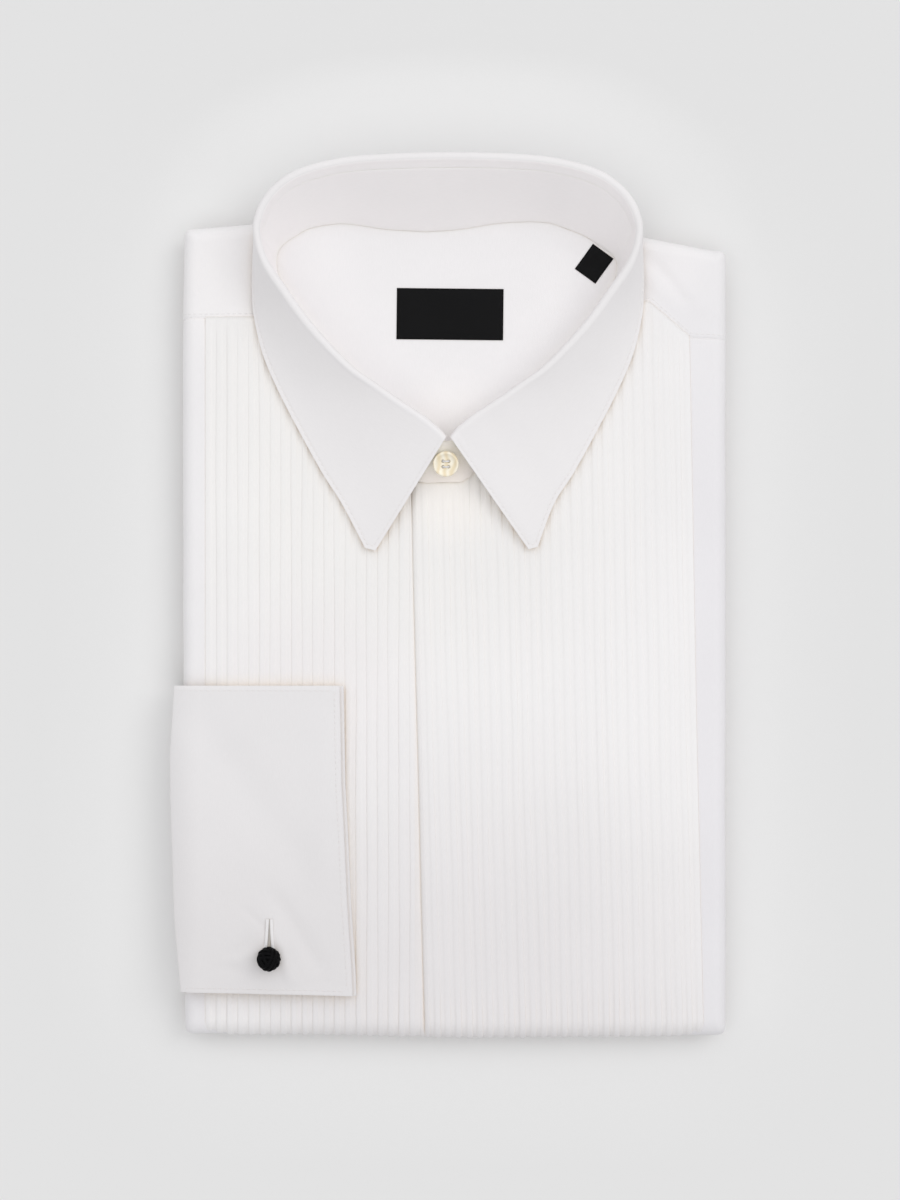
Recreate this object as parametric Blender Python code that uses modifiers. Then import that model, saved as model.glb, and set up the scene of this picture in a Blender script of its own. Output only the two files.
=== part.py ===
"""Folded long sleeve dress shirt: a pleated-bib evening shirt with a turn-down collar, a fly front
and one double cuff brought round to the front, lying face up on a surface.

Frame: +Z up, +Y towards the collar, +X towards the fly side's bib. The origin is the middle of
the underside. Sizes are in millimetres and become metres where an object is made.
"""
import math

import bpy

# ---- Driving dimensions, in millimetres ---------------------------------------------------------
MM = 0.001
SEAM_GAP = 0.3            # clear space between pieces that are sewn or lie together
CLOTH = 1.2               # wall of a single panel
RELIEF = 0.8              # how far a knife pleat's fold stands above the pleat beside it
CORE_RADIUS = 4.6         # fold radius inside the front panels
STACK_RADIUS = 4.35       # the hidden layers' own, a little smaller
FOLD_CENTRE_Z = 11.0      # height of the axis that the panels fold round
PANEL_LIFT = SEAM_GAP + CLOTH                  # outer face of a panel, above the hidden layers
BIB_INNER_LIFT = PANEL_LIFT + SEAM_GAP
BIB_LIFT = BIB_INNER_LIFT + CLOTH              # bib between its pleats
CREST_LIFT = BIB_LIFT + RELIEF                 # bib at a pleat's fold
PANEL_FOLD = CORE_RADIUS + PANEL_LIFT
BIB_FOLD = CORE_RADIUS + CREST_LIFT
TOP_Z = FOLD_CENTRE_Z + CORE_RADIUS            # top of the hidden layers

LEFT_PLEATS = 19
LEFT_PITCH = 4.73
LEFT_BIB_X = -106.9       # outer edge of the left bib
RIGHT_PLEATS = 26
FLY_RAISE = 0.8           # the fly lies over the button side, so its edge rides higher
FLY_WIDTH = 35.0
FLY_GAP = 0.45            # the button side stops this far short of the fly's edge

NECK_RISE = 1.6           # the front is lifted a little round the neck
NECK_RISE_REACH = 34.0
NECK_CENTRE = (0.0, 62.0)

STAND_WALL = 1.5
LEAF_WALL = 1.6
ROLL_RADIUS = 1.5         # the leaf's middle line turns over the roll on this radius
FALL_POWER = 1.35         # how much faster the leaf drops near the roll than near its edge
STAND_END_Z = 25.6        # top of the stand's front end
LAP_RAISE = 2.1           # the stand's upper end lies this far above its lower end
LIP = 3.6                 # from the roll down to the seam between leaf and stand
CUFF_WALL = 2.2
CUFF_GAP = 0.4
SLEEVE_WALL = 1.2

BUTTON_CENTRE = (-0.9, 58.7)
BUTTON_RADIUS = 5.7
BUTTON_THICK = 2.2
BUTTON_Z = 27.5
BUTTON_TILT = math.radians(13.5)
KNOT_CENTRE = (-78.5, -158.6)
KNOT_RADIUS = 5.7
KNOT_STEM = 1.1
KNOT_SEAT_ANGLE = math.radians(38)      # the ball is pressed flat below this angle
SLIT_WIDTH = 3.0
SLIT_LENGTH = 18.0
LABEL_SIZE = (46.6, 22.4)
LABEL_CENTRE = (0.9, 124.8)
TAB_SIZE = (13.2, 11.6)
TAB_CENTRE = (64.4, 147.0)
TAB_ANGLE = math.radians(48)
TRIM_WALL = 0.7           # label and tab

# Plan edges of the folded body: each row is (position along the edge, edge coordinate).
LEFT_EDGE = [(-186.0, -116.4), (-36.0, -117.2), (52.0, -117.2), (118.0, -117.3), (163.0, -116.4)]
RIGHT_EDGE = [(-188.0, 122.8), (150.0, 122.8)]
BOTTOM_EDGE = [(-113.0, -191.4), (-60.0, -192.0), (10.0, -193.4), (70.0, -192.3), (121.0, -192.6)]
TOP_EDGE = [(-117.0, 162.4), (-84.0, 165.2), (0.0, 166.0), (60.0, 163.6), (85.0, 159.5),
            (119.0, 152.9), (123.0, 151.4)]
STACK_SIDES = (-116.4, 122.8)   # the fold's plan at its corners: sides, then left and right ends
STACK_LOW = (-191.4, -192.4)
STACK_HIGH = (162.4, 151.0)
FLY_EDGE = [(-193.4, -10.2), (-133.0, -11.9), (-76.0, -13.2), (5.5, -15.4), (48.0, -16.3),
            (54.0, -16.5)]
FLY_TOP_Y = 51.0
SHOULDER_END_Y = 125.2    # where a yoke's shoulder part ends at the neckline
SEAM_START_X = 66.0       # where the yoke seams leave the neckline
YOKE_NECK = (60.5, 124.0)  # the yoke's shoulder parts meet the neckline beyond this
YOKE_INNER_CENTRE = (0.0, 122.0)
YOKE_INNER_FRONT = (0.0, 51.6)
LEFT_YOKE_SEAM_Y = 123.6
RIGHT_YOKE_SEAM = [(66.0, 124.9), (88.0, 129.8), (107.0, 114.0), (123.0, 113.4)]
BODY_TOP_Y = 120.0         # the fold's length, near enough to look up where its sides lie
BODY_LENGTH = 300.0
BODY_SIDE_X = 120.0
UNDER_FLY_X = 17.0         # the button side's cut ends under the fly
# Columns of the front panels, from the side fold inward; the yoke shares the first ones.
SHOULDER_COLUMNS = (107.0, 100.0, 94.0, 88.0, 77.0, 66.3)
NECK_COLUMNS = (55.6, 41.6, 28.4, 17.8, 10.8, 5.6, 0.2)
RIGHT_BIB_EDGE = [(-193.4, 112.6), (-60.0, 109.6), (109.0, 106.5), (131.0, 104.8)]

# Collar, from the middle of the back round to the front, as a half: (base x, y), (roll x, y, z),
# (leaf edge x, y, z). The base is the neck seam, the roll is the collar's top fold.
COLLAR_HALF = [
    # base x, base y, roll x, roll y, roll z, edge x, edge y, edge z
    (0.0, 160.0, 0.0, 192.9, 46.0, 0.0, 184.6, 9.0),
    (-26.0, 161.2, -26.0, 192.2, 46.0, -25.0, 183.7, 9.0),
    (-45.5, 162.6, -45.5, 190.5, 45.6, -43.5, 182.0, 9.5),
    (-60.0, 161.2, -63.0, 186.2, 45.0, -60.0, 178.5, 10.5),
    (-67.5, 157.6, -73.0, 180.6, 44.2, -71.0, 174.5, 13.5),
    (-73.0, 153.6, -79.6, 173.2, 43.2, -79.5, 169.6, 17.8),
    (-75.6, 149.6, -83.0, 164.9, 42.4, -84.2, 159.8, 19.8),
    (-75.6, 143.8, -83.0, 157.2, 41.4, -85.6, 147.6, 19.8),
    (-72.6, 135.0, -79.6, 147.4, 40.2, -85.8, 135.3, 19.8),
    (-66.2, 125.2, -72.0, 136.5, 39.0, -85.2, 123.8, 19.9),
    (-55.6, 112.2, -59.6, 120.0, 37.8, -81.4, 107.2, 21.6),
    (-41.6, 97.2, -43.0, 102.6, 36.6, -74.4, 90.6, 22.2),
    (-28.4, 84.2, -30.6, 93.4, 35.6, -65.2, 72.8, 22.4),
    (-17.8, 73.0, -19.0, 85.2, 34.8, -55.0, 54.4, 22.6),
    (-10.8, 63.6, -10.2, 79.4, 34.2, -46.6, 41.2, 22.8),
    (-5.6, 55.4, -3.6, 73.9, 33.4, -36.4, 21.8, 23.0),
]
# The leaf's leading edge, from the roll's end at the front to the tip.
LEAF_FRONT = {"left": ((-0.2, 70.6, 33.0), (-31.4, 20.6, 23.0)),
              "right": ((0.4, 70.4, 33.4), (34.8, 21.2, 23.4))}
RIGHT_TIP_X = 39.4        # outer corner of the right tip

# Cuff outline: (y, left edge x) and (y, right edge x of the upper half, of the under half).
CUFF_LEFT = [(-175.2, -117.5), (-158.2, -119.2), (-141.5, -120.6), (-116.0, -121.4),
             (-86.5, -122.4), (-69.7, -122.5), (-39.0, -120.6)]
CUFF_RIGHT = [(-175.8, -42.2), (-163.0, -42.7), (-133.0, -44.7), (-107.5, -45.8), (-82.5, -47.1),
              (-39.5, -47.9)]
CUFF_UNDER_SHOWS = [(-175.8, 2.0), (-39.5, 1.2)]
CUFF_TOP_Y = -38.9
CUFF_BOTTOM_Y = -175.4
CUFF_DROOP_START = -109.0
CUFF_DROOP = 4.0          # how far the sleeve end sinks past the body's edge
TENT_HEIGHT = 3.0         # the inner ball of the knot props the cuff up here
TENT_REACH = 20.0


# ---- Small helpers ------------------------------------------------------------------------------
def along(table, at):
    """Reads a two-column table at a position, with straight lines between its rows."""
    rows = sorted(table)
    if at <= rows[0][0]:
        return rows[0][1]
    for (a, value_a), (b, value_b) in zip(rows, rows[1:]):
        if at <= b:
            return value_a + (value_b - value_a) * (at - a) / (b - a)
    return rows[-1][1]


def mix(a, b, t):
    return tuple(p + (q - p) * t for p, q in zip(a, b))


def spread(first, last, count):
    return [first + (last - first) * i / (count - 1) for i in range(count)]


def make_material(name, color, roughness):
    material = bpy.data.materials.new(name)
    material.use_nodes = True
    shader = material.node_tree.nodes["Principled BSDF"]
    shader.inputs["Base Color"].default_value = (*color, 1.0)
    shader.inputs["Roughness"].default_value = roughness
    shader.inputs["Metallic"].default_value = 0.0
    return material


def make_object(name, points, faces, material):
    """Makes one object in the shirt's collection from points in millimetres."""
    mesh = bpy.data.meshes.new(name)
    mesh.from_pydata([tuple(c * MM for c in p) for p in points], [], faces)
    mesh.validate()
    obj = bpy.data.objects.new(name, mesh)
    shirt.objects.link(obj)
    mesh.materials.append(material)
    mesh.shade_smooth()
    mesh.set_sharp_from_angle(angle=math.radians(40))
    return obj


def grid_faces(rows, columns, closed=False):
    """Faces of a grid of points stored row by row; closed joins its last column to its first."""
    steps = columns if closed else columns - 1
    return [(r * columns + c, r * columns + (c + 1) % columns,
             (r + 1) * columns + (c + 1) % columns, (r + 1) * columns + c)
            for r in range(rows - 1) for c in range(steps)]


def add_wall(obj, wall, offset):
    """Turns an open sheet into a closed wall: offset -1 grows it inward, 1 outward, 0 both ways."""
    solid = obj.modifiers.new("Wall", "SOLIDIFY")
    solid.thickness = wall * MM
    solid.offset = offset
    solid.use_even_offset = True
    return solid


def make_sheet(name, rows, wall, offset, material):
    """A wall of cloth from rows of points, each row running the same way across."""
    points = [p for row in rows for p in row]
    obj = make_object(name, points, grid_faces(len(rows), len(rows[0])), material)
    add_wall(obj, wall, offset)
    return obj


# ---- The folded body's form ---------------------------------------------------------------------
def neck_rise(x, y):
    """Extra height round the neck, the same for every layer."""
    distance = math.hypot(x - NECK_CENTRE[0], y - NECK_CENTRE[1])
    return NECK_RISE * math.exp(-(distance / NECK_RISE_REACH) ** 2)


def laid_point(x, y, lift, side=0, side_angle=0.0, end=0, end_angle=0.0):
    """A point on a layer that lies over the body and folds round its edges.

    side is -1 or 1 for the left or right fold and end is -1 or 1 for the bottom or top fold; the
    angles say how far round each fold the point is. Where both are above zero the layer rounds a
    corner.
    """
    radius = CORE_RADIUS + lift
    centre_x = side_centre(side, y) if side_angle > 0 else x
    centre_y = end_centre(end, x) if end_angle > 0 else y
    angle = max(side_angle, end_angle)
    if angle == 0:
        return (x, y, FOLD_CENTRE_Z + radius + neck_rise(x, y))
    if side_angle >= end_angle:
        turn = math.pi / 4 * end_angle / side_angle
    else:
        turn = math.pi / 2 - math.pi / 4 * side_angle / end_angle
    reach = radius * math.sin(angle)
    return (centre_x + side * reach * math.cos(turn), centre_y + end * reach * math.sin(turn),
            FOLD_CENTRE_Z + radius * math.cos(angle))


def side_centre(side, y):
    edge = along(LEFT_EDGE if side < 0 else RIGHT_EDGE, y)
    return edge - side * PANEL_FOLD


def end_centre(end, x):
    if end < 0:
        return along(BOTTOM_EDGE, x) + BIB_FOLD
    return along(TOP_EDGE, x) - PANEL_FOLD


def base_line(half):
    """The neck seam's points on one side, from the back to the front."""
    side = -1 if half == "left" else 1
    return [(-side * row[0], row[1]) for row in COLLAR_HALF]


def neckline(x):
    """Lower edge of the neck opening over a panel's column."""
    front = [(abs(row[0]), row[1]) for row in COLLAR_HALF[9:]]
    front.append((0.0, 51.0))
    return along(front, abs(x))


def fly_x(half, share):
    """The fly's edge at a share of the way down a front; the button side stops just short."""
    top = neckline(FLY_EDGE[-1][1]) if half == "left" else FLY_TOP_Y
    x = along(FLY_EDGE, top + (end_centre(-1, FLY_EDGE[0][1]) - top) * share)
    return x - (FLY_GAP if half == "left" else 0.0)


def front_top(x, half):
    """Upper edge of the fronts: the neckline, then the yoke seam."""
    if half == "right" and x < 0:
        return FLY_TOP_Y - SEAM_GAP
    if abs(x) < SEAM_START_X:
        return neckline(x) - SEAM_GAP
    if half == "left":
        return LEFT_YOKE_SEAM_Y
    return along(RIGHT_YOKE_SEAM, x)


# ---- Hidden layers ------------------------------------------------------------------------------
def stack_ring(inset, bottom_extra, z):
    """One level of the hidden layers: the plan outline drawn in, with round corners."""
    corner = max(PANEL_FOLD + 1.0 - inset, 1.5)
    samples = 8
    ring = []

    def arc(centre_x, centre_y, start):
        for i in range(5):
            angle = start + math.pi / 2 * i / 4
            ring.append((centre_x + corner * math.cos(angle),
                         centre_y + corner * math.sin(angle), z))

    left, right = STACK_SIDES[0] + inset + corner, STACK_SIDES[1] - inset - corner
    low_left, low_right = ((x, y + inset + bottom_extra + corner)
                           for x, y in zip((left, right), STACK_LOW))
    high_left, high_right = ((x, y - inset - corner) for x, y in zip((left, right), STACK_HIGH))
    arc(*low_left, math.pi)
    for x in spread(low_left[0], low_right[0], samples)[1:-1]:
        ring.append((x, along(BOTTOM_EDGE, x) + inset + bottom_extra, z))
    arc(*low_right, math.pi * 1.5)
    for y in spread(low_right[1], high_right[1], samples)[1:-1]:
        ring.append((along(RIGHT_EDGE, y) - inset, y, z))
    arc(*high_right, 0.0)
    for x in spread(high_right[0], high_left[0], samples)[1:-1]:
        ring.append((x, along(TOP_EDGE, x) - inset, z))
    arc(*high_left, math.pi / 2)
    for y in spread(high_left[1], low_left[1], samples)[1:-1]:
        ring.append((along(LEFT_EDGE, y) + inset, y, z))
    return ring


def make_folded_stack(material):
    """Back, sleeves and tail folded under: one rounded solid with a layered edge."""
    levels = [(4.0, 0.0, 0.0), (1.6, 0.0, 0.5), (0.8, 0.0, 1.3), (2.2, 0.0, 2.2), (0.9, 0.0, 3.1),
              (2.0, 0.0, 4.2), (4.4, 1.0, 5.0)]
    bottom_extra = BIB_FOLD - PANEL_FOLD
    for degrees in (165, 135, 105, 75, 45, 20, 0):
        angle = math.radians(degrees)
        levels.append((PANEL_FOLD - STACK_RADIUS * math.sin(angle), bottom_extra,
                       FOLD_CENTRE_Z + STACK_RADIUS * math.cos(angle)))
    rings = [stack_ring(*level) for level in levels]
    count = len(rings[0])
    points = [p for ring in rings for p in ring]
    faces = grid_faces(len(rings), count, closed=True)
    faces.append(tuple(reversed(range(count))))
    faces.append(tuple(range((len(rings) - 1) * count, len(rings) * count)))
    make_object("folded_stack", points, faces, material)


# ---- Fronts, yoke and bibs ----------------------------------------------------------------------
def make_front(half, material):
    """A front panel: it runs under its bib, round the side fold and round the bottom fold."""
    side = -1 if half == "left" else 1
    side_angles = [math.radians(a) for a in (148, 122, 96, 70, 46, 22)]
    end_angles = [math.radians(a) for a in (26, 52, 78, 104, 130)]
    flat_rows = 7
    fixed = [side * x for x in SHOULDER_COLUMNS + NECK_COLUMNS if half == "right" or x > UNDER_FLY_X]
    rows = []
    for level in range(flat_rows + len(end_angles)):
        share = min(level, flat_rows - 1) / (flat_rows - 1)
        y_guess = BODY_TOP_Y - BODY_LENGTH * share
        end_angle = end_angles[level - flat_rows] if level >= flat_rows else 0.0
        fly = fly_x(half, share)
        columns = [(side_centre(side, y_guess), angle) for angle in side_angles + [0.0]]
        columns += [(x, 0.0) for x in fixed + [fly]]
        row = []
        for x, angle in columns:
            top = front_top(x, half) if angle == 0 else front_top(side * BODY_SIDE_X, half)
            y = top + (end_centre(-1, x) - top) * share
            px, py, pz = laid_point(x, y, PANEL_LIFT, side, angle, -1, end_angle)
            row.append((px, py, pz + fly_raise(half, x, angle, end_angle)))
        rows.append(row if side > 0 else row[::-1])
    make_sheet("front_" + half, rows, CLOTH, -1, material)


def fly_raise(half, x, side_angle=0.0, end_angle=0.0):
    """The fly side rides over the button side, less and less away from its edge."""
    if half == "left" or side_angle > 0:
        return 0.0
    near = max(0.0, 1.0 - (x - along(FLY_EDGE, 0.0)) / FLY_WIDTH)
    return FLY_RAISE * min(near, 1.0) ** 2 * math.cos(min(end_angle, math.pi / 2))


def bib_columns(half):
    """Columns across a bib: (share of a pleat count from the outer edge, height in the pleat)."""
    profile = [(0.0, 0.0), (0.03, 0.7), (0.10, 1.0)]
    count = LEFT_PLEATS if half == "left" else RIGHT_PLEATS
    columns = [(k + at, height) for k in range(count) for at, height in profile]
    columns.append((float(count), 0.0))
    return columns


def bib_x(half, pleat, share):
    """Where a bib's column lies, counted in pleats from the outer edge, at a share of the way down."""
    if half == "left":
        return fly_x(half, share) if pleat > LEFT_PLEATS else LEFT_BIB_X + pleat * LEFT_PITCH
    outer = along(RIGHT_BIB_EDGE, BODY_TOP_Y - BODY_LENGTH * share)
    return outer + (fly_x(half, share) - outer) * pleat / RIGHT_PLEATS


def make_bib(half, material):
    """A bib of knife pleats whose folds face outward; its underside is plain."""
    levels = 8
    end_angles = [math.radians(a) for a in (28, 56, 84, 110, 132)]
    columns = bib_columns(half)
    if half == "left":
        columns.append((columns[-1][0] + 1.0, 0.35))

    def place(pleat, level, lift):
        end_angle = end_angles[level - levels] if level >= levels else 0.0
        share = min(level, levels - 1) / (levels - 1)
        x = bib_x(half, pleat, share)
        top = front_top(x, half)
        y = top + (end_centre(-1, x) - top) * share
        point = laid_point(x, y, lift, 0, 0.0, -1, end_angle)
        return (point[0], point[1], point[2] + fly_raise(half, x, 0.0, end_angle))

    points = []
    upper = []
    lower = []
    for level in range(levels + len(end_angles)):
        upper.append([])
        lower.append({})
        for index, (pleat, height) in enumerate(columns):
            upper[-1].append(len(points))
            points.append(place(pleat, level, BIB_LIFT + RELIEF * height))
            if index % 3 == 0 or index >= len(columns) - 2:
                lower[-1][index] = len(points)
                points.append(place(pleat, level, BIB_INNER_LIFT))
    faces = []
    stops = sorted(lower[0])
    for level in range(len(upper) - 1):
        for index in range(len(columns) - 1):
            faces.append((upper[level][index], upper[level + 1][index],
                          upper[level + 1][index + 1], upper[level][index + 1]))
        for a, b in zip(stops, stops[1:]):
            faces.append((lower[level][a], lower[level][b],
                          lower[level + 1][b], lower[level + 1][a]))
        for stop, order in ((stops[0], 1), (stops[-1], -1)):
            side = (upper[level][stop], lower[level][stop],
                    lower[level + 1][stop], upper[level + 1][stop])
            faces.append(side[::order])
    for level, order in ((0, 1), (len(upper) - 1, -1)):
        for a, b in zip(stops, stops[1:]):
            edge = [upper[level][i] for i in range(a, b + 1)]
            edge += [lower[level][b], lower[level][a]]
            faces.append(tuple(edge[::order]))
    if half == "right":
        faces = [face[::-1] for face in faces]
    make_object("bib_" + half, points, faces, material)


def make_yoke_shoulder(half, material):
    """The yoke's part that comes over a shoulder to the front, folded round the top and side."""
    side = -1 if half == "left" else 1
    side_angles = [math.radians(a) for a in (148, 122, 96, 70, 46, 22)]
    end_angles = [math.radians(a) for a in (148, 118, 90, 60, 30)]
    flat_rows = 7
    neck = [(y, x) for x, y in base_line(half) if y > YOKE_NECK[1] and abs(x) > YOKE_NECK[0]]
    outer_x = side_centre(side, 140.0)
    shares = [0.0] + [(outer_x - side * x) / (outer_x - side * SHOULDER_COLUMNS[-1])
                      for x in SHOULDER_COLUMNS]
    rows = []
    for level in range(len(end_angles) + flat_rows):
        end_angle = end_angles[level] if level < len(end_angles) else 0.0
        down = max(0, level - len(end_angles)) / (flat_rows - 1)
        columns = [(0.0, angle) for angle in side_angles] + [(share, 0.0) for share in shares]
        neck_top = end_centre(1, side * 70.0)
        inner_y = neck_top + (SHOULDER_END_Y - neck_top) * down
        inner_x = along(neck, inner_y) + side * SEAM_GAP
        row = []
        for across, angle in columns:
            at_seam = outer_x + (side * SHOULDER_COLUMNS[-1] - outer_x) * across
            top = end_centre(1, at_seam)
            low = front_top(at_seam if angle == 0 else side * BODY_SIDE_X, half) + SEAM_GAP
            y = top + (low - top) * down
            x = outer_x + (inner_x - outer_x) * across
            row.append(laid_point(x, y, PANEL_LIFT, side, angle, 1, end_angle))
        rows.append(row[::-1] if side > 0 else row)
    make_sheet("yoke_" + half, rows, CLOTH, 1, material)


def make_yoke_inner(material):
    """The inside of the yoke and back, seen through the neck, within the neck seam."""
    left = base_line("left")[1:]
    right = base_line("right")[1:]
    outline = [(0.0, COLLAR_HALF[0][1])] + left + [YOKE_INNER_FRONT] + right[::-1]
    shares = (0.985, 0.8, 0.55, 0.3, 0.08)
    points = []
    for share in shares:
        for x, y in outline:
            px, py = mix(YOKE_INNER_CENTRE, (x, y), share)
            points.append((px, py, inner_yoke_height(px, py)))
    count = len(outline)
    faces = grid_faces(len(shares), count, closed=True)
    faces.append(tuple(range((len(shares) - 1) * count, len(shares) * count)))
    obj = make_object("yoke_inner", points, faces, material)
    add_wall(obj, CLOTH, -1)


def inner_yoke_height(x, y):
    return TOP_Z + PANEL_LIFT + 0.4 * neck_rise(x, y)


# ---- Collar -------------------------------------------------------------------------------------
def collar_row(half, index):
    """One section of the collar: base, roll and leaf edge, for either half."""
    side = 1 if half == "left" else -1
    bx, by, rx, ry, rz, ex, ey, ez = COLLAR_HALF[index]
    base = (side * bx, by, base_height(side * bx, by))
    return base, (side * rx, ry, rz), (side * ex, ey, ez)


def base_height(x, y):
    """Lower edge of the stand: just above the yoke at the back, and above the bibs in front."""
    on_bib = min(max((138.0 - y) / 12.0, 0.0), 1.0)
    level = PANEL_LIFT + (CREST_LIFT - PANEL_LIFT + 0.6) * on_bib
    return TOP_Z + level + SEAM_GAP + neck_rise(x, y) + 0.4


def unit(vector):
    length = math.sqrt(sum(c * c for c in vector))
    return [c / length for c in vector]


def outward(roll_before, roll_after, half):
    """Level direction square to the roll line, pointing away from the neck."""
    run = unit([b - a for a, b in zip(roll_before[:2], roll_after[:2])])
    return (run[1], -run[0]) if half == "left" else (-run[1], run[0])


def collar_frame(roll, base, edge, out):
    """The roll's bend in one section: its centre, the lip's direction, and towards the fall."""
    reach = (base[0] - roll[0]) * out[0] + (base[1] - roll[1]) * out[1]
    lip = unit((out[0] * reach, out[1] * reach, base[2] - roll[2]))
    plan = (edge[0] - roll[0], edge[1] - roll[1])
    slope = FALL_POWER * (edge[2] - roll[2]) / math.hypot(*plan)
    direction = unit(plan)
    fall = unit((direction[0], direction[1], slope))
    bend = unit([-(a + b) for a, b in zip(lip, fall)])
    across = unit([b - a for a, b in zip(lip, fall)])
    lean = max(-1.0, min(1.0, 2.0 * (bend[0] * out[0] + bend[1] * out[1])))
    outer = ROLL_RADIUS + LEAF_WALL / 2
    centre = (roll[0] - out[0] * outer * lean, roll[1] - out[1] * outer * lean, roll[2] - outer)
    return centre, lip, bend, across


def lip_end(frame, length):
    centre, lip, _, across = frame
    return tuple(c - a * ROLL_RADIUS + l * length for c, a, l in zip(centre, across, lip))


def leaf_section(frame, edge, steps):
    """The leaf in one section: up inside, over the roll and down outside to its edge."""
    centre, _, bend, across = frame
    section = [lip_end(frame, LIP), lip_end(frame, LIP / 2)]
    for degrees in (180, 135, 90, 45, 0):
        angle = math.radians(degrees)
        section.append(tuple(c + ROLL_RADIUS * (a * math.cos(angle) + b * math.sin(angle))
                             for c, a, b in zip(centre, across, bend)))
    start = section[-1]
    for step in range(1, steps + 1):
        t = step / steps
        fall = 1 - (1 - t) ** FALL_POWER
        section.append((start[0] + (edge[0] - start[0]) * t, start[1] + (edge[1] - start[1]) * t,
                        start[2] + (edge[2] - start[2]) * fall))
    return section


def collar_frames(half):
    """Every section's frame and leaf edge along one half, the leading edge's last."""
    stations = [collar_row(half, i) for i in range(len(COLLAR_HALF))]
    start, tip = LEAF_FRONT[half]
    last_base = stations[-1][0]
    stations.append(((start[0], last_base[1] - 3.0, last_base[2]), start, tip))
    if half == "right":
        base, roll, edge = stations[-2]
        stations[-2] = (base, roll, (RIGHT_TIP_X, edge[1] + 0.4, edge[2]))
    rolls = [roll for _, roll, _ in stations]
    mirrored = (-rolls[1][0], rolls[1][1])
    before = [mirrored] + rolls[:-1]
    after = rolls[1:] + [rolls[-1]]
    frames = []
    for (base, roll, edge), a, b in zip(stations, before, after):
        frames.append((collar_frame(roll, base, edge, outward(a, b, half)), base, edge))
    return frames


def make_collar_leaf(material):
    """The fall of the collar: one wall from tip to tip, turned over at the roll."""
    steps = 5
    halves = [[leaf_section(frame, edge, steps) for frame, _, edge in collar_frames(half)]
              for half in ("left", "right")]
    rows = halves[0][::-1] + halves[1][1:]
    make_sheet("collar_leaf", rows, LEAF_WALL, 0, material)


def make_collar_stand(material):
    """The band between neck seam and leaf; its right end laps over its left end at the front."""
    steps = 3
    ends = {"left": [((1.0, 51.2), (1.0, 64.8))],
            "right": [((-4.0, 50.8), (-3.0, 64.8)), ((-9.0, 50.6), (-8.0, 64.4)),
                      ((-13.4, 51.6), (-13.0, 62.6))]}
    lap = {"left": (0.0, STAND_END_Z), "right": (LAP_RAISE, STAND_END_Z + LAP_RAISE)}
    halves = []
    for half in ("left", "right"):
        rows = []
        base_lift, top_z = lap[half]
        for index, (frame, base, _) in enumerate(collar_frames(half)[:-1]):
            top = lip_end(frame, LIP + SEAM_GAP * (8 if index == len(COLLAR_HALF) - 1 else 1))
            near = max(0.0, (index - len(COLLAR_HALF) + 3) / 2)
            base = (base[0], base[1], base[2] + base_lift * near)
            rows.append([mix(base, top, step / steps) for step in range(steps + 1)])
        for (bx, by), (tx, ty) in ends[half]:
            base = (bx, by, base_height(bx, by) + base_lift)
            rows.append([mix(base, (tx, ty, top_z), step / steps) for step in range(steps + 1)])
        halves.append(rows)
    rows = halves[0][::-1] + halves[1][1:]
    make_sheet("collar_stand", rows, STAND_WALL, 0, material)


def make_collar_button(material):
    """A four-hole button with a raised rim, sitting on the stand's front."""
    mesh_profile = [(0.0, 0.0), (0.82, 0.0), (1.0, 0.3), (1.0, 0.75), (0.93, 1.0), (0.78, 0.95),
                    (0.62, 0.62), (0.0, 0.62)]
    sides = 20
    points = [(0.0, 0.0, 0.0)]
    for radius, height in mesh_profile[1:-1]:
        for i in range(sides):
            angle = 2 * math.pi * i / sides
            points.append((BUTTON_RADIUS * radius * math.cos(angle),
                           BUTTON_RADIUS * radius * math.sin(angle), BUTTON_THICK * height))
    points.append((0.0, 0.0, BUTTON_THICK * mesh_profile[-1][1]))
    rings = len(mesh_profile) - 2
    faces = [tuple(1 + i for i in f) for f in grid_faces(rings, sides, closed=True)]
    top = len(points) - 1
    for i in range(sides):
        faces.append((0, 1 + (i + 1) % sides, 1 + i))
        first = 1 + (rings - 1) * sides
        faces.append((top, first + i, first + (i + 1) % sides))
    obj = make_object("collar_button", points, faces, material)
    obj.location = (BUTTON_CENTRE[0] * MM, BUTTON_CENTRE[1] * MM, BUTTON_Z * MM)
    obj.rotation_euler = (BUTTON_TILT, 0.0, 0.0)


# ---- Cuff, sleeve and knot ----------------------------------------------------------------------
def cuff_height(x, y):
    """Height of the cuff's layers above their level: propped up at the knot, sunk at the left."""
    distance = math.hypot(x - KNOT_CENTRE[0], y - KNOT_CENTRE[1])
    tent = TENT_HEIGHT * math.exp(-(distance / TENT_REACH) ** 2)
    past = min(x - CUFF_DROOP_START, 0.0) / 12.0
    return tent - CUFF_DROOP * past * past


def make_cuff_half(name, level, shows, curl, material):
    """One half of the flattened cuff, a turned-back double wall, with its buttonhole cut."""
    ys = [CUFF_TOP_Y, CUFF_TOP_Y - 1.2, -62.0, -86.0, -110.0, -128.0, -141.0, -150.0, -158.6,
          -167.0, CUFF_BOTTOM_Y]
    shares = [0.0, 0.05, 0.13, 0.25, 0.36, 0.46, 0.56, 0.66, 0.8, 0.93, 1.0]
    rows = []
    for index, y in enumerate(ys):
        left = along(CUFF_LEFT, y) + 0.4
        right = along(CUFF_RIGHT, y) + along(CUFF_UNDER_SHOWS, y) * shows
        row = []
        for share in shares:
            x = left + (right - left) * share
            z = level + cuff_height(x, y) - (curl if index == 0 else 0.0)
            row.append((x, y, z))
        rows.append(row)
    obj = make_sheet(name, [row[::-1] for row in rows], CUFF_WALL, -1, material)
    cut = obj.modifiers.new("Buttonhole", "BOOLEAN")
    cut.operation = "DIFFERENCE"
    cut.object = buttonhole_cutter
    return obj


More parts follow.
